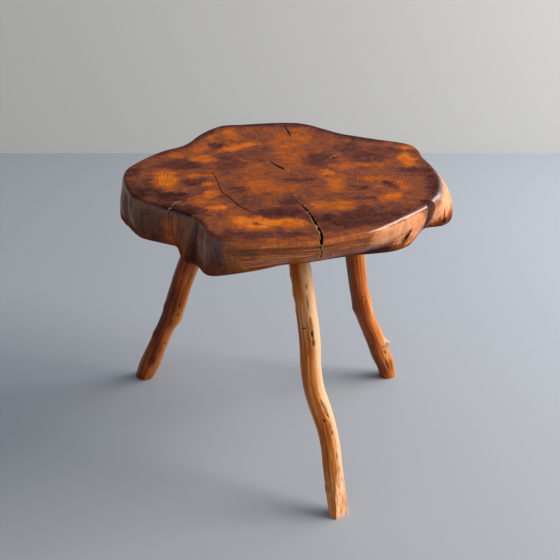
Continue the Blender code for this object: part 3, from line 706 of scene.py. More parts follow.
def mark_slab(mesh):
    """Store on each point what its finish reads, from its ring and tone to how hollow it lies."""
    names = ("ring", "tone", "side", "front", "base", "hollow")
    values = {name: [0.0] * len(mesh.vertices) for name in names}
    for index, vertex in enumerate(mesh.vertices):
        local = vertex.co - slab_middle
        x, y = local.x, local.y
        turn = math.degrees(math.atan2(y / slab_half_depth, x / slab_half_width)) % 360.0
        rim, belly, foot, rounding = edge_at(turn)
        depth_share = (table_height - local.z) / slab_thickness
        radial = math.hypot(x / slab_half_width, y / slab_half_depth)
        side = ramped(depth_share, *side_start_shares)
        base = ramped(depth_share, *base_start_shares) * (1 - ramped(radial / foot, *base_end_shares))
        values["ring"][index] = ring_place(x, y, turn)
        values["side"][index] = side
        values["front"][index] = undercut(turn) * side
        values["base"][index] = base
        if side < 1.0:
            band = rim_band * ramped(radial / rim, *rim_band_shares)
            # Along the undercut front the band turns lighter: a painted highlight on the front rim
            band *= 1 - front_rim_highlight_share * undercut(turn)
            values["tone"][index] += (patch_tone(x / MM, y / MM) + band) * (1 - side)
        if side > 0.0 and base < 1.0:
            inside = 1 - radial / side_share(rim, belly, foot, depth_share)
            cleft = 1 - ramped(abs(turn - notch_turn), *cleft_turns)
            shade = cleft_shade * ramped(inside, *cleft_depth_shares) * cleft
            shade += foot_shade * ramped(depth_share, *foot_shade_shares)
            values["tone"][index] += (side_tone(turn, depth_share) - shade) * side
            # How deep the side's flutes and folds lie, which the finish darkens as painted shade
            values["hollow"][index] = max(0.0, -side_relief(turn, depth_share)) / MM * side
    for name in names:
        mesh.attributes.new(name, "FLOAT", "POINT").data.foreach_set("value", values[name])


def make_slab(varnished, dry):
    """The whole slab: blank, checks, gashes, notch and sockets, then its marks."""
    split_bm = bmesh.new()
    for name in splits:
        split_cutter(split_bm, name)
    for gash in gashes:
        gash_cutter(split_bm, gash)
    socket_bm = bmesh.new()
    for leg in legs:
        socket_cutter(socket_bm, leg)
    changes = [("DIFFERENCE", temporary("splits", split_bm, dry)),
               ("DIFFERENCE", temporary("notch", notch_cutter(), varnished)),
               ("DIFFERENCE", temporary("sockets", socket_bm, dry))]
    mesh = carve(slab_blank(), changes, [varnished, dry])
    mark_slab(mesh)
    mesh.shade_smooth()
    mesh.set_sharp_from_angle(angle=slab_sharp_angle)
    show("live_edge_slab", mesh, ["slab"])


# Pale fibres torn along the splits. On the top: split, first and last share of its line, how many, how
# far down they reach in metres, and the side they hang on. Down the side: turn, depth shares, how many.
torn_tops = (
    ("front_check", 0.10, 0.30, 14, 0.0010, 1.0),
    ("front_check", 0.48, 0.84, 44, 0.0030, -1.0),
    ("left_check", 0.50, 0.86, 34, 0.0010, 1.0),
    ("heart_check", 0.70, 1.00, 16, 0.0008, 1.0),
    ("far_check", 0.05, 0.45, 16, 0.0005, 1.0),
)
torn_sides = (
    (283.9, 0.16, 0.50, 24),
    (284.0, 0.50, 0.84, 70),
    (322.2, 0.45, 0.85, 22),
)
torn_seed = 5
torn_steps = 5
torn_tip_share = 0.3
torn_sink = 0.35 * MM
torn_top_leans = (0.7, 0.7, 0.2)
torn_side_leans = (0.5, 0.5, 0.5)


def sliver(bm, chance, place, direction, lengths, thicknesses):
    """Add one torn fibre, as long and as thick as two ranges in millimetres allow."""
    length = chance.uniform(*lengths) * MM
    thick = chance.uniform(*thicknesses) * MM
    rod(bm, place, direction.normalized(), length, thick, thick * torn_tip_share, torn_steps)


def make_torn_fibres(finish):
    """Slivers of pale wood that bridge and line the splits."""
    chance = random.Random(torn_seed)
    bm = bmesh.new()
    for name, start, end, count, drop, side in torn_tops:
        points = split_points(name)
        for number in range(count):
            share = start + (end - start) * (number + chance.random()) / count
            centre, along, across, left, right = points[min(int(share * len(points)), len(points) - 1)]
            reach = left if side > 0 else right
            lean = Vector([chance.uniform(-most, most) for most in torn_top_leans])
            place = centre + across * side * (reach * chance.uniform(0.6, 1.1) + 0.8 * MM * chance.random())
            place.z = table_height - torn_sink - chance.random() ** 3 * drop
            sliver(bm, chance, place, along + lean, (2.5, 7.0), (0.4, 0.9))
    for turn, start, end, count in torn_sides:
        for number in range(count):
            share = start + (end - start) * (number + chance.random()) / count
            here = turn + chance.uniform(-0.7, 0.5)
            down = (side_point(here, share + 0.02) - side_point(here, share)).normalized()
            lean = Vector([chance.uniform(-most, most) for most in torn_side_leans])
            place = side_point(here, share) - heading(here) * 0.1 * MM
            sliver(bm, chance, place, down + lean, (2.0, 6.0), (0.35, 0.8))
    for vertex in bm.verts:
        vertex.co = within(vertex.co, slab_low, slab_high)
    mesh = to_mesh("torn_fibres", bm, finish)
    mesh.shade_smooth()
    show("torn_fibres", mesh, [])


# Legs

socket_spread = 0.134
socket_depth = 0.042
socket_steps = 64
tenon_radius = 0.0145
tenon_length = 0.040
fit_gap = 0.0003
shoulder_length = 0.014
shoulder_room = 0.004
kerf_depth = 0.024
kerf_root = 0.0018
kerf_mouth = 0.0046
kerf_width_share = 4.0
leg_turn_steps = 96
leg_rows = 460
leg_below_floor = 0.012
mark_reach = 2.2
scar_edge = (0.5, 1.35)
# A hollow mark has a raised lip: its distance, its width and its height as a share of the hollow
lip_distance = 1.5
lip_width = 0.4
lip_share = 0.5
knot_steps = 24
neck_steps = 6
leg_sharp_angle = math.radians(42.0)
waves_per_leg = 8.0
whittled_fade = 8 * MM
lit_paint_half_turn = 42.0
shade_paint_half_turn = 60.0
shade_paint_turn = -115.0
lip_tone = 0.12
wave_tone = 0.25
# Waves of the branch: how fast they run round it and along it, and their height in metres
branch_waves = ((0.9, 1.0, 1.2 * MM), (2.8, 0.7, 0.8 * MM), (6.5, 5.0, 0.22 * MM))

# Each leg: its line, its tone and its painted light and shade (the turn of the side painted lit, how
# much lighter it is painted, and how much darker the shaded side), then its knots and scars: height in
# millimetres, facing in degrees (270 is the front), half length, half width and relief (+ out) in
# millimetres, and how dark they are
legs = (
    {
        "name": "left", "radius": 0.0178, "socket_turn": 144.0, "foot_turn": 151.6, "foot_spread": 0.280,
        "tone": -0.02, "painted_lit_side": (328, 0.24, 0.20),
        "branch_shares": ((0, 0, 0, 0.86), (0.06, 0.002, -0.001, 0.95), (0.13, 0.005, -0.005, 0.94),
                          (0.21, 0.007, -0.01, 0.87), (0.3, 0.006, -0.012, 0.88), (0.36, 0.003, -0.017, 1),
                          (0.42, 0, -0.015, 1.03), (0.5, -0.004, -0.008, 0.99),
                          (0.58, -0.005, -0.004, 1.01), (0.66, -0.003, -0.004, 1.03),
                          (0.76, 0.001, -0.004, 1.02), (0.88, 0, -0.002, 1)),
        "marks": ((177.5, 249, 3, 2, -0.6, 0.9), (171.6, 290, 6, 2, -0.6, 1),
                  (152.8, 296, 4, 1.8, -0.5, 0.9), (134.6, 273, 9, 1.8, -0.8, 0.7),
                  (137.5, 352, 10, 9, 1.6, 0), (125, 345, 3, 4, -1, 0.7), (153, 192, 8, 8, 1.2, 0),
                  (90, 303, 3, 2.2, -0.4, 0.6), (48.8, 264, 12, 6, -0.4, 0.6),
                  (241.9, 249, 12, 1.4, -0.3, 0.6), (225, 300, 16, 1.8, -0.3, 0.5),
                  (95, 190, 9, 7, 1.4, 0), (205, 60, 9, 5.3, 1.8, 0.4), (110, 110, 8, 5.3, -1.2, 0.7)),
    },
    {
        "name": "front", "radius": 0.0160, "socket_turn": 281.0, "foot_turn": 288.4, "foot_spread": 0.285,
        "tone": 0.11, "painted_lit_side": (342, 0.80, -0.06),
        "branch_shares": ((0, 0, 0, 0.86), (0.09, 0, 0.004, 0.92), (0.18, 0.002, 0.008, 0.95),
                          (0.26, 0.006, 0.008, 0.93), (0.34, 0.004, 0.002, 0.94),
                          (0.41, -0.006, -0.006, 0.99), (0.49, -0.019, -0.01, 0.97),
                          (0.57, -0.017, -0.008, 0.98), (0.65, -0.009, -0.002, 1),
                          (0.73, -0.006, 0.002, 1.04), (0.81, -0.004, 0.004, 1), (0.9, -0.002, 0.002, 1.02)),
        "marks": ((336.2, 288, 5, 1.2, -0.4, 0.9), (313.9, 282, 11, 1.2, -0.4, 0.9),
                  (288.4, 284, 6, 1.8, -0.5, 0.6), (280, 290, 6, 3, 1, 0.4), (269.4, 285, 6, 2.2, -1.4, 1),
                  (257.1, 288, 6, 2.6, -0.8, 0.8), (278.9, 246, 1.2, 4.5, -1, 1),
                  (244.2, 256, 8, 1.2, -0.5, 0.5), (341.6, 182, 8, 4.8, -1.2, 0.9),
                  (313.4, 182, 8, 4.8, -1.2, 0.9), (166, 290, 6, 1.6, -0.6, 0.8),
                  (156, 297, 9, 3.2, -0.8, 0.6), (147, 299, 4, 1.8, -0.6, 0.8),
                  (142, 267, 3, 1.8, -0.8, 1), (131, 290, 7, 1.8, -0.5, 0.6),
                  (123, 294, 4, 2.4, -0.5, 0.7), (90.3, 300, 6, 1.2, -0.4, 0.7),
                  (43.2, 216, 6, 4.8, -1.3, 0.3), (200, 40, 8, 5.6, 1.6, 0.5),
                  (115, 130, 7, 4.8, -1.1, 0.7)),
    },
    {
        "name": "right", "radius": 0.0164, "socket_turn": 35.0, "foot_turn": 35.2, "foot_spread": 0.237,
        "tone": 0.0, "painted_lit_side": (334, 0.26, 0.26),
        "branch_shares": ((0, 0, 0, 0.86), (0.07, 0.003, 0.001, 0.96), (0.13, 0.008, -0.008, 1),
                          (0.2, 0.012, -0.016, 0.97), (0.28, 0.016, -0.026, 0.95),
                          (0.36, 0.018, -0.038, 0.96), (0.42, 0.018, -0.042, 1.04),
                          (0.5, 0.016, -0.042, 0.96), (0.58, 0.012, -0.038, 0.97), (0.67, 0.008, -0.03, 1),
                          (0.78, 0.004, -0.018, 1.01), (0.9, 0.001, -0.007, 1)),
        "marks": ((264.7, 279, 3, 1.6, -0.5, 0.8), (188.8, 288, 2.2, 1.8, -0.6, 0.9),
                  (175.6, 300, 2.2, 1.8, -0.6, 0.9), (108.6, 270, 5, 1.6, -0.5, 0.8),
                  (78.2, 249, 9, 1.8, -0.6, 0.6), (59, 308, 5, 2.2, -1, 0.5), (66, 345, 10, 8, 1.6, 0),
                  (32.1, 291, 12, 2.6, -1.3, 0.6), (25, 315, 15, 3, -1.5, 0.5),
                  (157.5, 189, 8, 8.2, 1.3, 0), (85, 200, 10, 2, -0.8, 0.6), (140, 80, 8, 5.7, 1.6, 0.5)),
    },
)
stub_radius = 0.0055
stub_length = 0.0075
stub_height_share = 0.188
stub_axis = Vector((1.0, -0.25, 0.12)).normalized()
stub_steps = 28
stub_slant = 0.45
stub_ragged_share = 0.30
# Rings along the stub: how far out as a share of its length, and its radius as a share
stub_shares = ((-1.2, 2.30), (-0.30, 1.70), (0.10, 1.32), (0.40, 1.10), (0.70, 1.00), (0.88, 0.88),
               (0.97, 0.62), (1.00, 0.20))
foot_facet_top = 0.072
foot_facet_turn = 312.0
foot_facet_depth = 0.0065
foot_facet_lip = 0.0005


def plan_point(turn, spread, height):
    """A point at a turn and a distance from the middle of the slab."""
    return heading(turn) * spread + Vector((0.0, 0.0, height)) + slab_middle


def branch_line(leg):
    """The leg's line from the floor up with its radii, its socket's mouth, and its axis there."""
    foot = plan_point(leg["foot_turn"], leg["foot_spread"], 0.0)
    socket = plan_point(leg["socket_turn"], socket_spread, slab_low.z)
    chord = socket - foot
    lean = Vector((-chord.x, -chord.y, 0.0)).normalized()
    across = Vector((-lean.y, lean.x, 0.0))
    line = []
    for height, aside, outward, girth in leg["branch_shares"]:
        sway = (across * aside + lean * outward) * chord.z
        line.append((foot + chord * height + sway, leg["radius"] * girth))
    return line, socket, (socket - line[-1][0]).normalized()


def socket_cutter(bm, leg):
    """Add the blind hole for a leg's tenon."""
    line, socket, axis = branch_line(leg)
    length = cutter_overrun + socket_depth
    radius = tenon_radius + fit_gap
    rod(bm, socket + axis * (length / 2 - cutter_overrun), axis, length, radius, radius, socket_steps)


def kerf_cutter(leg):
    """The saw kerf in the tenon's end, spread by the wedge."""
    line, socket, axis = branch_line(leg)
    end = socket + axis * tenon_length
    across = axis.cross(Vector((socket.x - slab_middle.x, socket.y - slab_middle.y, 0.0))).normalized()
    thick = axis.cross(across).normalized()
    slope = (kerf_mouth - kerf_root) / kerf_depth
    half_width = tenon_radius * kerf_width_share / 2
    bm = bmesh.new()
    rings = []
    for place, half in ((end + axis * cutter_overrun, (kerf_mouth + slope * cutter_overrun) / 2),
                        (end - axis * kerf_depth, kerf_root / 2)):
        rings.append([place + across * x * half_width + thick * y * half
                      for x, y in ((-1, -1), (1, -1), (1, 1), (-1, 1))])
    skin(bm, rings)
    return bm


def stub(leg):
    """The short stub of a twig, broken off close to the leg, with a worn and slanting end."""
    line, socket, axis = branch_line(leg)
    heights = [row[0] for row in leg["branch_shares"]]
    after = next(i for i, height in enumerate(heights) if height > stub_height_share)
    part = (stub_height_share - heights[after - 1]) / (heights[after] - heights[after - 1])
    start = line[after - 1][0].lerp(line[after][0], part)
    side = stub_axis.cross(Vector((0.0, 0.0, 1.0))).normalized()
    rise = side.cross(stub_axis)
    bm = bmesh.new()
    rings = []
    for out_share, girth in stub_shares:
        ring = []
        for step in range(stub_steps):
            angle = math.tau * step / stub_steps
            facing = side * math.cos(angle) + rise * math.sin(angle)
            ragged = 1 + stub_ragged_share * noise.noise(facing * 1.6 + Vector((out_share, 0.0, 4.0)))
            slant = 1 - stub_slant * max(0.0, out_share) * (0.5 - 0.5 * math.sin(angle))
            out = leg["radius"] + stub_length * out_share * slant
            ring.append(start + stub_axis * out + facing * stub_radius * girth * ragged)
        rings.append(ring)
    skin(bm, rings)
    return bm


def leg_path(leg):
    """Smooth points and radii from under the floor to the tenon's end, and how long the whittled end is."""
    line, socket, axis = branch_line(leg)
    mouth_clearance = tenon_radius * math.tan(math.acos(axis.z)) + fit_gap
    neck = socket - axis * mouth_clearance
    shoulder = neck - axis * shoulder_length
    below = (line[0][0] - line[1][0]).normalized() * leg_below_floor
    knots = [(line[0][0] + below, line[0][1])]
    knots += [knot for knot in line if (knot[0] - shoulder).dot(axis) < -shoulder_room]
    knots.append((shoulder, leg["radius"]))
    path = []
    for i in range(len(knots) - 1):
        (p0, r0), (p1, r1) = knots[max(i - 1, 0)], knots[i]
        (p2, r2), (p3, r3) = knots[i + 1], knots[min(i + 2, len(knots) - 1)]
        for step in range(knot_steps):
            s = step / knot_steps
            path.append((cubic(s, 1.0, p1, p2, (p2 - p0) / 2, (p3 - p1) / 2),
                         cubic(s, 1.0, r1, r2, (r2 - r0) / 2, (r3 - r1) / 2)))
    for step in range(neck_steps + 1):
        s = step / neck_steps
        girth = leg["radius"] + (tenon_radius - leg["radius"]) * ramped(s, 0, 1)
        path.append((shoulder.lerp(neck, s), girth))
    end = socket + axis * tenon_length
    path.append((end, tenon_radius))
    return path, (end - shoulder).length


def even_rows(path, rows):
    """Points, radii and directions at even steps along a path, and how much of it is left."""
    reach = [0.0]
    for (a, ra), (b, rb) in zip(path, path[1:]):
        reach.append(reach[-1] + (b - a).length)
    stops = []
    index = 0
    for row in range(rows + 1):
        target = reach[-1] * row / rows
        while index < len(path) - 2 and reach[index + 1] < target:
            index += 1
        (a, ra), (b, rb) = path[index], path[index + 1]
        part = (target - reach[index]) / (reach[index + 1] - reach[index])
        stops.append((a.lerp(b, part), ra + (rb - ra) * part, (b - a).normalized(), reach[-1] - target))
    return stops


def mark_relief(leg, height, facing, radius):
    """How far knots and scars stand out at a point, how dark they are, and how pale their lips are."""
    relief, scar, lip = 0.0, 0.0, 0.0
    for mark_height, mark_facing, half_length, half_width, out, dark in leg["marks"]:
        rise = (height / MM - mark_height) / half_length
        if abs(rise) > mark_reach:
            continue
        aside = math.radians(turn_between(facing, mark_facing)) * radius / MM / half_width
        distance = math.hypot(rise, aside)
        if distance < mark_reach:
            relief += out * bell(distance)
            if out < 0:
                raised = bell((distance - lip_distance) / lip_width)
                relief -= out * lip_share * raised
                lip = max(lip, dark * raised)
            scar = max(scar, dark * (1 - ramped(distance, *scar_edge)))
    return relief * MM, scar, lip


def leg_blank(leg):
    """A peeled branch as a ball drawn out along its line, with its knots, swellings and scars."""
    path, whittled = leg_path(leg)
    stops = even_rows(path, leg_rows)
    bm = bmesh.new()
    tone_layer = bm.verts.layers.float.new("tone")
    scar_layer = bm.verts.layers.float.new("scar")
    grain_layer = bm.verts.layers.float_vector.new("grain")
    seed = Vector((ord(leg["name"][0]), 3.0, 1.0))
    for vertex, row, turn in ball_rows(bm, leg_rows + 2, leg_turn_steps):
        place, radius, direction, left = stops[min(max(row - 1, 0), leg_rows)]
        side = (Vector((1.0, 0.0, 0.0)) - direction * direction.x).normalized()
        front = direction.cross(side)
        angle = math.radians(turn)
        outward = side * math.cos(angle) + front * math.sin(angle)
        along = Vector((0, 0, (1 - row / leg_rows) * waves_per_leg))
        waves = [noise.noise(outward * around + along * down + seed * number)
                 for number, (around, down, high) in enumerate(branch_waves, 1)]
        relief, scar, lip = mark_relief(leg, place.z, turn, radius)
        relief += sum(wave * row[2] for wave, row in zip(waves, branch_waves))
        relief *= ramped(left, whittled - whittled_fade / 4, whittled + whittled_fade)
        if row in (0, leg_rows + 2):
            vertex.co = place
        else:
            vertex.co = place + outward * (radius + relief)
        # Painted light and shade: the side towards the lamp is painted lighter and the side away from it
        # darker
        lit_paint_turn, paler, darker = leg["painted_lit_side"]
        pale = paler * bell(turn_between(turn, lit_paint_turn) / lit_paint_half_turn)
        pale -= darker * bell(turn_between(turn, lit_paint_turn + shade_paint_turn) / shade_paint_half_turn)
        vertex[tone_layer] = leg["tone"] + waves[0] * wave_tone + pale + lip_tone * lip
        vertex[scar_layer] = scar
        # Round the branch and along it, so that its streaks follow its bends
        vertex[grain_layer] = Vector((radius * math.cos(angle), radius * math.sin(angle), left)) + seed
    return bm


def make_leg(leg, varnished, cut_face):
    """The finished leg: branch, floor cut, axe facet or twig stub, and the kerf in its tenon."""
    bm = leg_blank(leg)
    changes = [("DIFFERENCE", temporary("kerf", kerf_cutter(leg), cut_face))]
    if leg["name"] == "front":
        line = branch_line(leg)[0]
        (foot, foot_radius), (next_point, next_radius) = line[0], line[1]
        facing = heading(foot_facet_turn)
        rise = (next_point - foot) / (next_point - foot).z
        low = foot + facing * (foot_radius - foot_facet_depth)
        high = foot + rise * foot_facet_top + facing * (next_radius + foot_facet_lip)
        level = Vector((-facing.y, facing.x, 0.0))
        cut_flat(bm, low, level.cross(high - low).normalized())
    if leg["name"] == "right":
        changes.append(("UNION", temporary("stub", stub(leg), cut_face)))
    cut_flat(bm, (0.0, 0.0, 0.0), (0.0, 0.0, -1.0))
    mesh = carve(bm, changes, [varnished, cut_face])
    low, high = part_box(leg["name"] + "_leg")
    for vertex in mesh.vertices:
        vertex.co = within(vertex.co, low, high)
    mesh.shade_smooth()
    mesh.set_sharp_from_angle(angle=leg_sharp_angle)
    show(leg["name"] + "_branch_leg", mesh, [leg["name"] + "_leg"])


# Materials


def varnished_slice():
    """A slice of fruit or yew wood, planed by hand and varnished: blotched orange and purple brown, the
    purple partly a painted sheen.
    """
    finish, tree, shader = new_material("varnished_tree_slice", 0.10)
    place = add(tree, "TexCoord", out="Object")
    tone, ring, side, front, base, hollow = (
        add(tree, "Attribute", out="Fac", attribute_name=name)
        for name in ("tone", "ring", "side", "front", "base", "hollow"))
    axes = tree.nodes.new("ShaderNodeSeparateXYZ")
    tree.links.new(place, axes.inputs[0])
    # Rays run out from the pith and straight down the side. They are drawn some 6 mm apart near the
    # rim, coarser than real ones, so that they show
    around = add(tree, "VectorMath", {0: place, 1: slab_middle + pith}, operation="SUBTRACT")
    level = add(tree, "VectorMath", {0: around, 1: (1.0, 1.0, 0.0)}, operation="MULTIPLY")
    outward = add(tree, "VectorMath", {0: level}, operation="NORMALIZE")
    reach = add(tree, "VectorMath", {0: level}, out="Value", operation="LENGTH")
    reach = add(tree, "Math", {0: axes.outputs["Z"], 1: 0.6, 2: reach}, operation="MULTIPLY_ADD")
    reach = add(tree, "Math", {0: reach, 1: 1 / (30 * MM)}, operation="MULTIPLY")
    reach = add(tree, "CombineXYZ", {"Z": reach})
    spokes = add(tree, "VectorMath", {0: outward, 1: (38.0, 38.0, 0.0), 2: reach}, operation="MULTIPLY_ADD")
    # The wider bands of growth are 5 mm wide, and level and some 4 mm wide on the undercut front
    layer = add(tree, "Math", {0: front, 1: axes.outputs["Z"]}, operation="MULTIPLY")
    layer = add(tree, "Math", {0: layer, 1: 1 / (4.2 * MM)}, operation="MULTIPLY")
    banding = add(tree, "CombineXYZ", {
        "X": add(tree, "Math", {0: ring, 1: 0.2, 2: layer}, operation="MULTIPLY_ADD"),
        "Y": add(tree, "Math", {0: axes.outputs["X"], 1: 8.0}, operation="MULTIPLY"),
        "Z": add(tree, "Math", {0: axes.outputs["Y"], 1: 8.0}, operation="MULTIPLY")})
    # Blotches are 20 mm across, the plane's marks 8 mm and 2 mm and drawn out, and the bundles of fibre
    # down the peeled side 6 mm wide
    drawn = add(tree, "Mapping", {"Vector": place, "Scale": (0.35, 1.0, 1.0)})
    upright = add(tree, "Mapping", {"Vector": place, "Scale": (1.0, 1.0, 0.10)})
    rays, bands, blotch, stroke, fleck, streak, wobble = (
        add(tree, "TexNoise", {"Vector": vector, "Scale": 1 / size, "Detail": detail, "Roughness": rough,
                               "Distortion": distortion})
        for vector, size, detail, rough, distortion in (
            (spokes, 1, 4.0, 0.62, 1.1), (banding, 1, 3.0, 0.6, 0.0), (place, 20 * MM, 5.0, 0.66, 0.6),
            (drawn, 8 * MM, 4.0, 0.65, 0.9), (drawn, 2 * MM, 3.0, 0.6, 0.0),
            (upright, 6 * MM, 4.0, 0.62, 0.0), (place, 25 * MM, 3.0, 0.5, 0.0)))
    figure = -1.04
    for pattern, weight in ((blotch, 0.70), (rays, 0.52), (stroke, 0.46), (fleck, 0.40)):
        figure = add(tree, "Math", {0: pattern, 1: weight, 2: figure}, operation="MULTIPLY_ADD")
    # The sawn and planed top shows its figure more than the peeled side
    shown = add(tree, "Math", {0: side, 1: -0.40, 2: 1.0}, operation="MULTIPLY_ADD")
    # Growth rings, clearest where the wood is light. They are drawn 5 mm apart, coarser than they grew,
    # so that they show
    rings = add(tree, "Math", {0: wobble, 1: 9.0, 2: ring}, operation="MULTIPLY_ADD")
    rings = add(tree, "Math", {0: rings, 1: math.tau / 5.0}, operation="MULTIPLY")
    rings = add(tree, "Math", {0: rings}, operation="SINE")
    light = add(tree, "MapRange", {"Value": tone, "From Min": 0.50, "From Max": 0.85, "To Min": 0.09,
                                   "To Max": 0.27}, interpolation_type="SMOOTHSTEP")
    light = add(tree, "Math", {0: light, 1: stroke}, operation="MULTIPLY")
    # Thin dark lines between the bands, where the cut front crosses them
    band_weight = add(tree, "Math", {0: front, 1: 1.20, 2: 0.25}, operation="MULTIPLY_ADD")
    lines = add(tree, "Math", {0: bands, 1: 0.5}, operation="SUBTRACT")
    lines = add(tree, "Math", {0: lines}, operation="ABSOLUTE")
    lines = add(tree, "MapRange", {"Value": lines, "From Max": 0.035, "To Min": -0.30, "To Max": 0.0})
    peeled = add(tree, "Math", {0: side, 1: front}, operation="SUBTRACT")
    streaks = add(tree, "Math", {0: streak, 1: 0.5}, operation="SUBTRACT")
    streaks = add(tree, "Math", {0: streaks, 1: peeled}, operation="MULTIPLY")
    # Pin knots, 3 mm across and some 40 mm apart, and the pores of the peeled side, drawn 2 mm across,
    # coarser than real ones, so that they show
    pins, pores = (
        add(tree, "MapRange", {"Value": add(tree, "TexVoronoi", {"Vector": place, "Scale": 1 / spacing},
                                            out="Distance"),
                               "From Min": inner, "From Max": outer, "To Min": dark, "To Max": 0.0},
            interpolation_type="SMOOTHSTEP")
        for spacing, inner, outer, dark in ((40 * MM, 0.03, 0.06, -0.5), (7 * MM, 0.10, 0.22, -0.30)))
    # The hollows of the side's flutes and folds are darkened by their depth: painted shade
    total = tone
    for amount, weight in ((figure, shown), (side, 0.07), (1.0, -0.06), (rings, light), (bands, band_weight),
                           (front, -0.49), (lines, front), (streaks, 0.9), (hollow, -0.05), (pins, 1.0),
                           (pores, peeled)):
        total = add(tree, "Math", {0: amount, 1: weight, 2: total}, operation="MULTIPLY_ADD")
    total = add(tree, "Math", {0: total, 1: 0.8}, operation="MULTIPLY")
    # The dark purple browns are partly the wood's own and partly a painted sheen, for the varnish's veil
    colour = add(tree, "ValToRGB", {"Fac": total}, stops=(
        (0.00, "#3C1E1A"), (0.18, "#562F29"), (0.34, "#714131"), (0.50, "#964E25"), (0.64, "#B85F20"),
        (0.80, "#CE7222"), (1.00, "#DC8A38")))
    # Paler and pinker where the side's tone is light: partly sapwood, where the bark came off, and partly
    # a painted sheen, since these light patches lie on the faces turned to the lamp
    sapwood = add(tree, "MapRange", {"Value": total, "From Min": 0.60, "From Max": 1.0, "To Max": 0.58})
    sapwood = add(tree, "Math", {0: sapwood, 1: side}, operation="MULTIPLY")
    colour = add(tree, "Mix", {0: sapwood, 6: colour, 7: "#F8AC80"}, out=2, data_type="RGBA")
    # The sawn underside is bare: the same figure, rings and all, in dry browns
    sawn = add(tree, "Math", {0: rings, 1: 0.05, 2: figure}, operation="MULTIPLY_ADD")
    sawn = add(tree, "Math", {0: sawn, 1: 0.5}, operation="ADD")
    sawn = add(tree, "ValToRGB", {"Fac": sawn}, stops=(
        (0.15, "#4A2C18"), (0.50, "#7C5230"), (0.85, "#A67C50")))
    colour = add(tree, "Mix", {0: base, 6: colour, 7: sawn}, out=2, data_type="RGBA")
    # The sides keep more varnish than the worn top and the cut front, and most of it at the shoulder
    gloss = add(tree, "MapRange", {"Value": side, "From Max": 0.2, "To Min": 0.004, "To Max": 0.50})
    gloss = add(tree, "Math", {0: front, 1: -0.32, 2: gloss}, operation="MULTIPLY_ADD")
    shoulder = add(tree, "MapRange", {"Value": axes.outputs["Z"], "From Max": slab_high.z,
                                      "From Min": slab_low.z + slab_thickness / 4, "To Max": 1.70})
    gloss = add(tree, "Math", {0: gloss, 1: shoulder}, operation="MULTIPLY")
    tree.links.new(gloss, shader.inputs["Specular IOR Level"])
    height, roughness = blotch, 0.10
    for pattern, weight in ((rings, 0.10), (streaks, 1.5), (fleck, 0.12)):
        height = add(tree, "Math", {0: pattern, 1: weight, 2: height}, operation="MULTIPLY_ADD")
    for pattern, weight in ((fleck, 0.20), (side, 0.08), (base, 0.35)):
        roughness = add(tree, "Math", {0: pattern, 1: weight, 2: roughness}, operation="MULTIPLY_ADD")
    finish_wood(tree, shader, colour, roughness, height, 0.7 * MM, 0.35)
    return finish


def grained_wood(name, specular, size, drawn, stops, rough, depth, strength):
    """A plain wood: fibres of one size along the trunk, tinted through a few colours."""
    finish, tree, shader = new_material(name, specular)
    place = add(tree, "TexCoord", out="Object")
    # Fibres are drawn a few millimetres wide, coarser than real ones, so that they show
    upright = add(tree, "Mapping", {"Vector": place, "Scale": (1.0, 1.0, drawn)})
    fibre = add(tree, "TexNoise", {"Vector": upright, "Scale": 1 / size, "Detail": 3.0, "Roughness": 0.6})
    colour = add(tree, "ValToRGB", {"Fac": fibre}, stops=stops)
    roughness = add(tree, "Math", {0: fibre, 1: 0.2, 2: rough}, operation="MULTIPLY_ADD")
    finish_wood(tree, shader, colour, roughness, fibre, depth, strength)
    return finish


def varnished_branch():
    """Peeled sapwood under varnish: amber with brown streaks along it, dark knots and scars."""
    finish, tree, shader = new_material("varnished_peeled_branch", 0.22)
    place = add(tree, "Attribute", out="Vector", attribute_name="grain")
    tone = add(tree, "Attribute", out="Fac", attribute_name="tone")
    scar = add(tree, "Attribute", out="Fac", attribute_name="scar")
    # Streaks 4 mm wide and patches 20 mm wide along the branch, and specks of 2 mm
    total = add(tree, "Math", {0: tone, 1: 0.42}, operation="SUBTRACT")
    layers = []
    for size, drawn, weight in ((4.0, 0.035, 1.10), (20.0, 0.14, 0.40), (2.0, 0.25, 0.26)):
        upright = add(tree, "Mapping", {"Vector": place, "Scale": (1.0, 1.0, drawn)})
        pattern = add(tree, "TexNoise", {"Vector": upright, "Scale": 1 / (size * MM), "Detail": 4.0,
                                         "Roughness": 0.62})
        total = add(tree, "Math", {0: pattern, 1: weight, 2: total}, operation="MULTIPLY_ADD")
        layers.append(pattern)
    streak, patch, speck = layers
    colour = add(tree, "ValToRGB", {"Fac": total}, stops=(
        (0.05, "#50220C"), (0.28, "#883C12"), (0.52, "#BA5A1A"), (0.74, "#D68238"), (1.00, "#EABC90")))
    darkness = add(tree, "Math", {0: scar, 1: 0.95}, operation="MULTIPLY")
    colour = add(tree, "Mix", {0: darkness, 6: colour, 7: "#3A2018"}, out=2, data_type="RGBA")
    height = add(tree, "Math", {0: patch, 1: 0.6, 2: streak}, operation="MULTIPLY_ADD")
    roughness = add(tree, "Math", {0: speck, 1: 0.22, 2: 0.24}, operation="MULTIPLY_ADD")
    finish_wood(tree, shader, colour, roughness, height, 0.9 * MM, 0.5)
    return finish


# Stage, light and camera

camera_place = Vector((-0.00115, -1.94372, 1.30))
camera_pitch = 28.0
picture_pixels = 560
focal_pixels = 1350
sensor_width = 36.0
wall_distance = 1.175
floor_gap = 0.0002
stage_size = 14.0
floor_colour = "#A1A9B5"
wall_colour = "#DEDFDD"
sky_colour = "#E6EAEE"
sky_strength = 0.39
# Lamps: name, place, what they point at, size, watts and colour
lamps = (
    ("window", (3.25, 0.1, 2.25), (0.0, 0.1, 0.25), 2.4, 206.0, "#FFF4E6"),
    ("far_window", (1.35, 0.95, 1.05), (0.0, 0.1, 0.4), 0.7, 8.0, "#EEF3FF"),
)


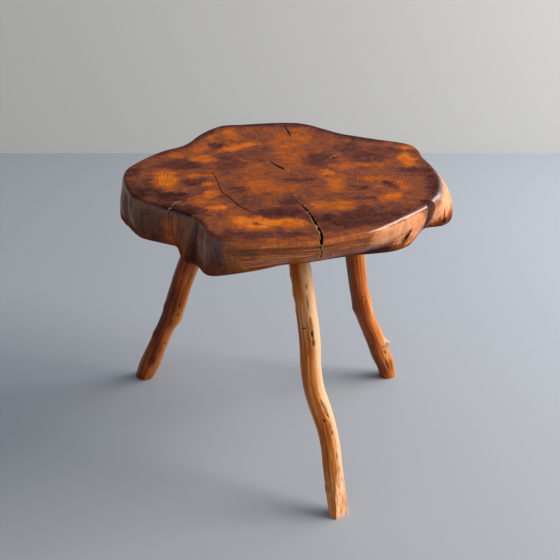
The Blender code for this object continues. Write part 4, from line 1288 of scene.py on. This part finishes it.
def plane(name, size, centre, turn, colour, rough):
    """A plain matt plane of the stage."""
    bm = bmesh.new()
    bmesh.ops.create_grid(bm, x_segments=1, y_segments=1, size=size / 2)
    bm.transform(Matrix.Translation(centre) @ Matrix.Rotation(turn, 4, "X"))
    finish, tree, shader = new_material(name, 0.0)
    shader.inputs["Base Color"].default_value = linear(colour)
    shader.inputs["Roughness"].default_value = rough
    # Seen from behind, the sheet is clear, so that the table shows from every side
    behind = add(tree, "NewGeometry", out="Backfacing")
    clear = add(tree, "BsdfTransparent")
    seen = add(tree, "MixShader", {0: behind, 1: shader.outputs[0], 2: clear})
    tree.links.new(seen, tree.nodes["Material Output"].inputs["Surface"])
    sheet = add_object(name, to_mesh(name, bm, finish))


def area_light(name, place, target, size, watts, colour):
    """A square soft light aimed at a point."""
    lamp = bpy.data.lights.new(name, "AREA")
    lamp.size = size
    lamp.energy = watts
    lamp.color = linear(colour)[:3]
    stand = add_object(name, lamp)
    stand.location = place
    stand.rotation_euler = (Vector(target) - Vector(place)).to_track_quat("-Z", "Y").to_euler()


def make_stage():
    """Floor, backdrop, lights and camera."""
    wall_place = Vector((0, wall_distance + slab_middle.y, 0))
    plane("floor", stage_size, Vector((0, 0, -floor_gap)), 0.0, floor_colour, 0.85)
    plane("backdrop", stage_size, wall_place, math.radians(90), wall_colour, 0.8)
    world = bpy.data.worlds.new("studio")
    world.use_nodes = True
    background = world.node_tree.nodes["Background"]
    background.inputs["Color"].default_value = linear(sky_colour)
    background.inputs["Strength"].default_value = sky_strength
    bpy.context.scene.world = world
    for lamp in lamps:
        area_light(*lamp)
    eye = bpy.data.cameras.new("camera")
    eye.sensor_width = sensor_width
    eye.lens = focal_pixels / picture_pixels * sensor_width
    stand = add_object("camera", eye)
    stand.location = slab_middle + camera_place
    stand.rotation_euler = (math.radians(90.0 - camera_pitch), 0.0, 0.0)
    bpy.context.scene.camera = stand
    bpy.context.scene.view_settings.view_transform = "Standard"


slice_wood = varnished_slice()
branch_wood = varnished_branch()
# The torn wood inside a drying check: bare and fibrous, its near-black browns painted shade for the depth of
# the split
shaded_check_wood = grained_wood("dry_check_wood_painted_shade", 0.3, 3 * MM, 0.12, (
    (0.30, "#120906"), (0.58, "#2E1A10"), (0.80, "#6A4628")), 0.7, 1.0 * MM, 1.0)
# Slivers torn from the slab as it dried: pale, dusty and dull
fibre_wood = grained_wood("torn_dry_fibres", 0.3, 3.5 * MM, 1.0, (
    (0.30, "#855630"), (0.48, "#C4905C"), (0.65, "#E8CDA8")), 0.6, 0.4 * MM, 1.0)
# Axe and saw cuts across a branch: paler, with slanting grain under thin varnish
cut_wood = grained_wood("varnished_axe_cut", 0.4, 4.5 * MM, 0.12, (
    (0.32, "#A8622F"), (0.48, "#DFA374"), (0.66, "#F2C8A2")), 0.34, 0.6 * MM, 0.5)
# Split, unfinished wedges
wedge_wood = grained_wood("split_wedge_wood", 0.4, 2.5 * MM, 0.1, (
    (0.30, "#A07A4E"), (0.70, "#C9A274")), 0.6, 0.4 * MM, 1.0)

make_stage()
make_slab(slice_wood, shaded_check_wood)
make_torn_fibres(fibre_wood)
for leg in legs:
    make_leg(leg, branch_wood, cut_wood)
for name in ("front_wedge", "left_wedge", "right_wedge"):
    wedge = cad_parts[name]
    wedge.data.materials.clear()
    wedge.data.materials.append(wedge_wood)
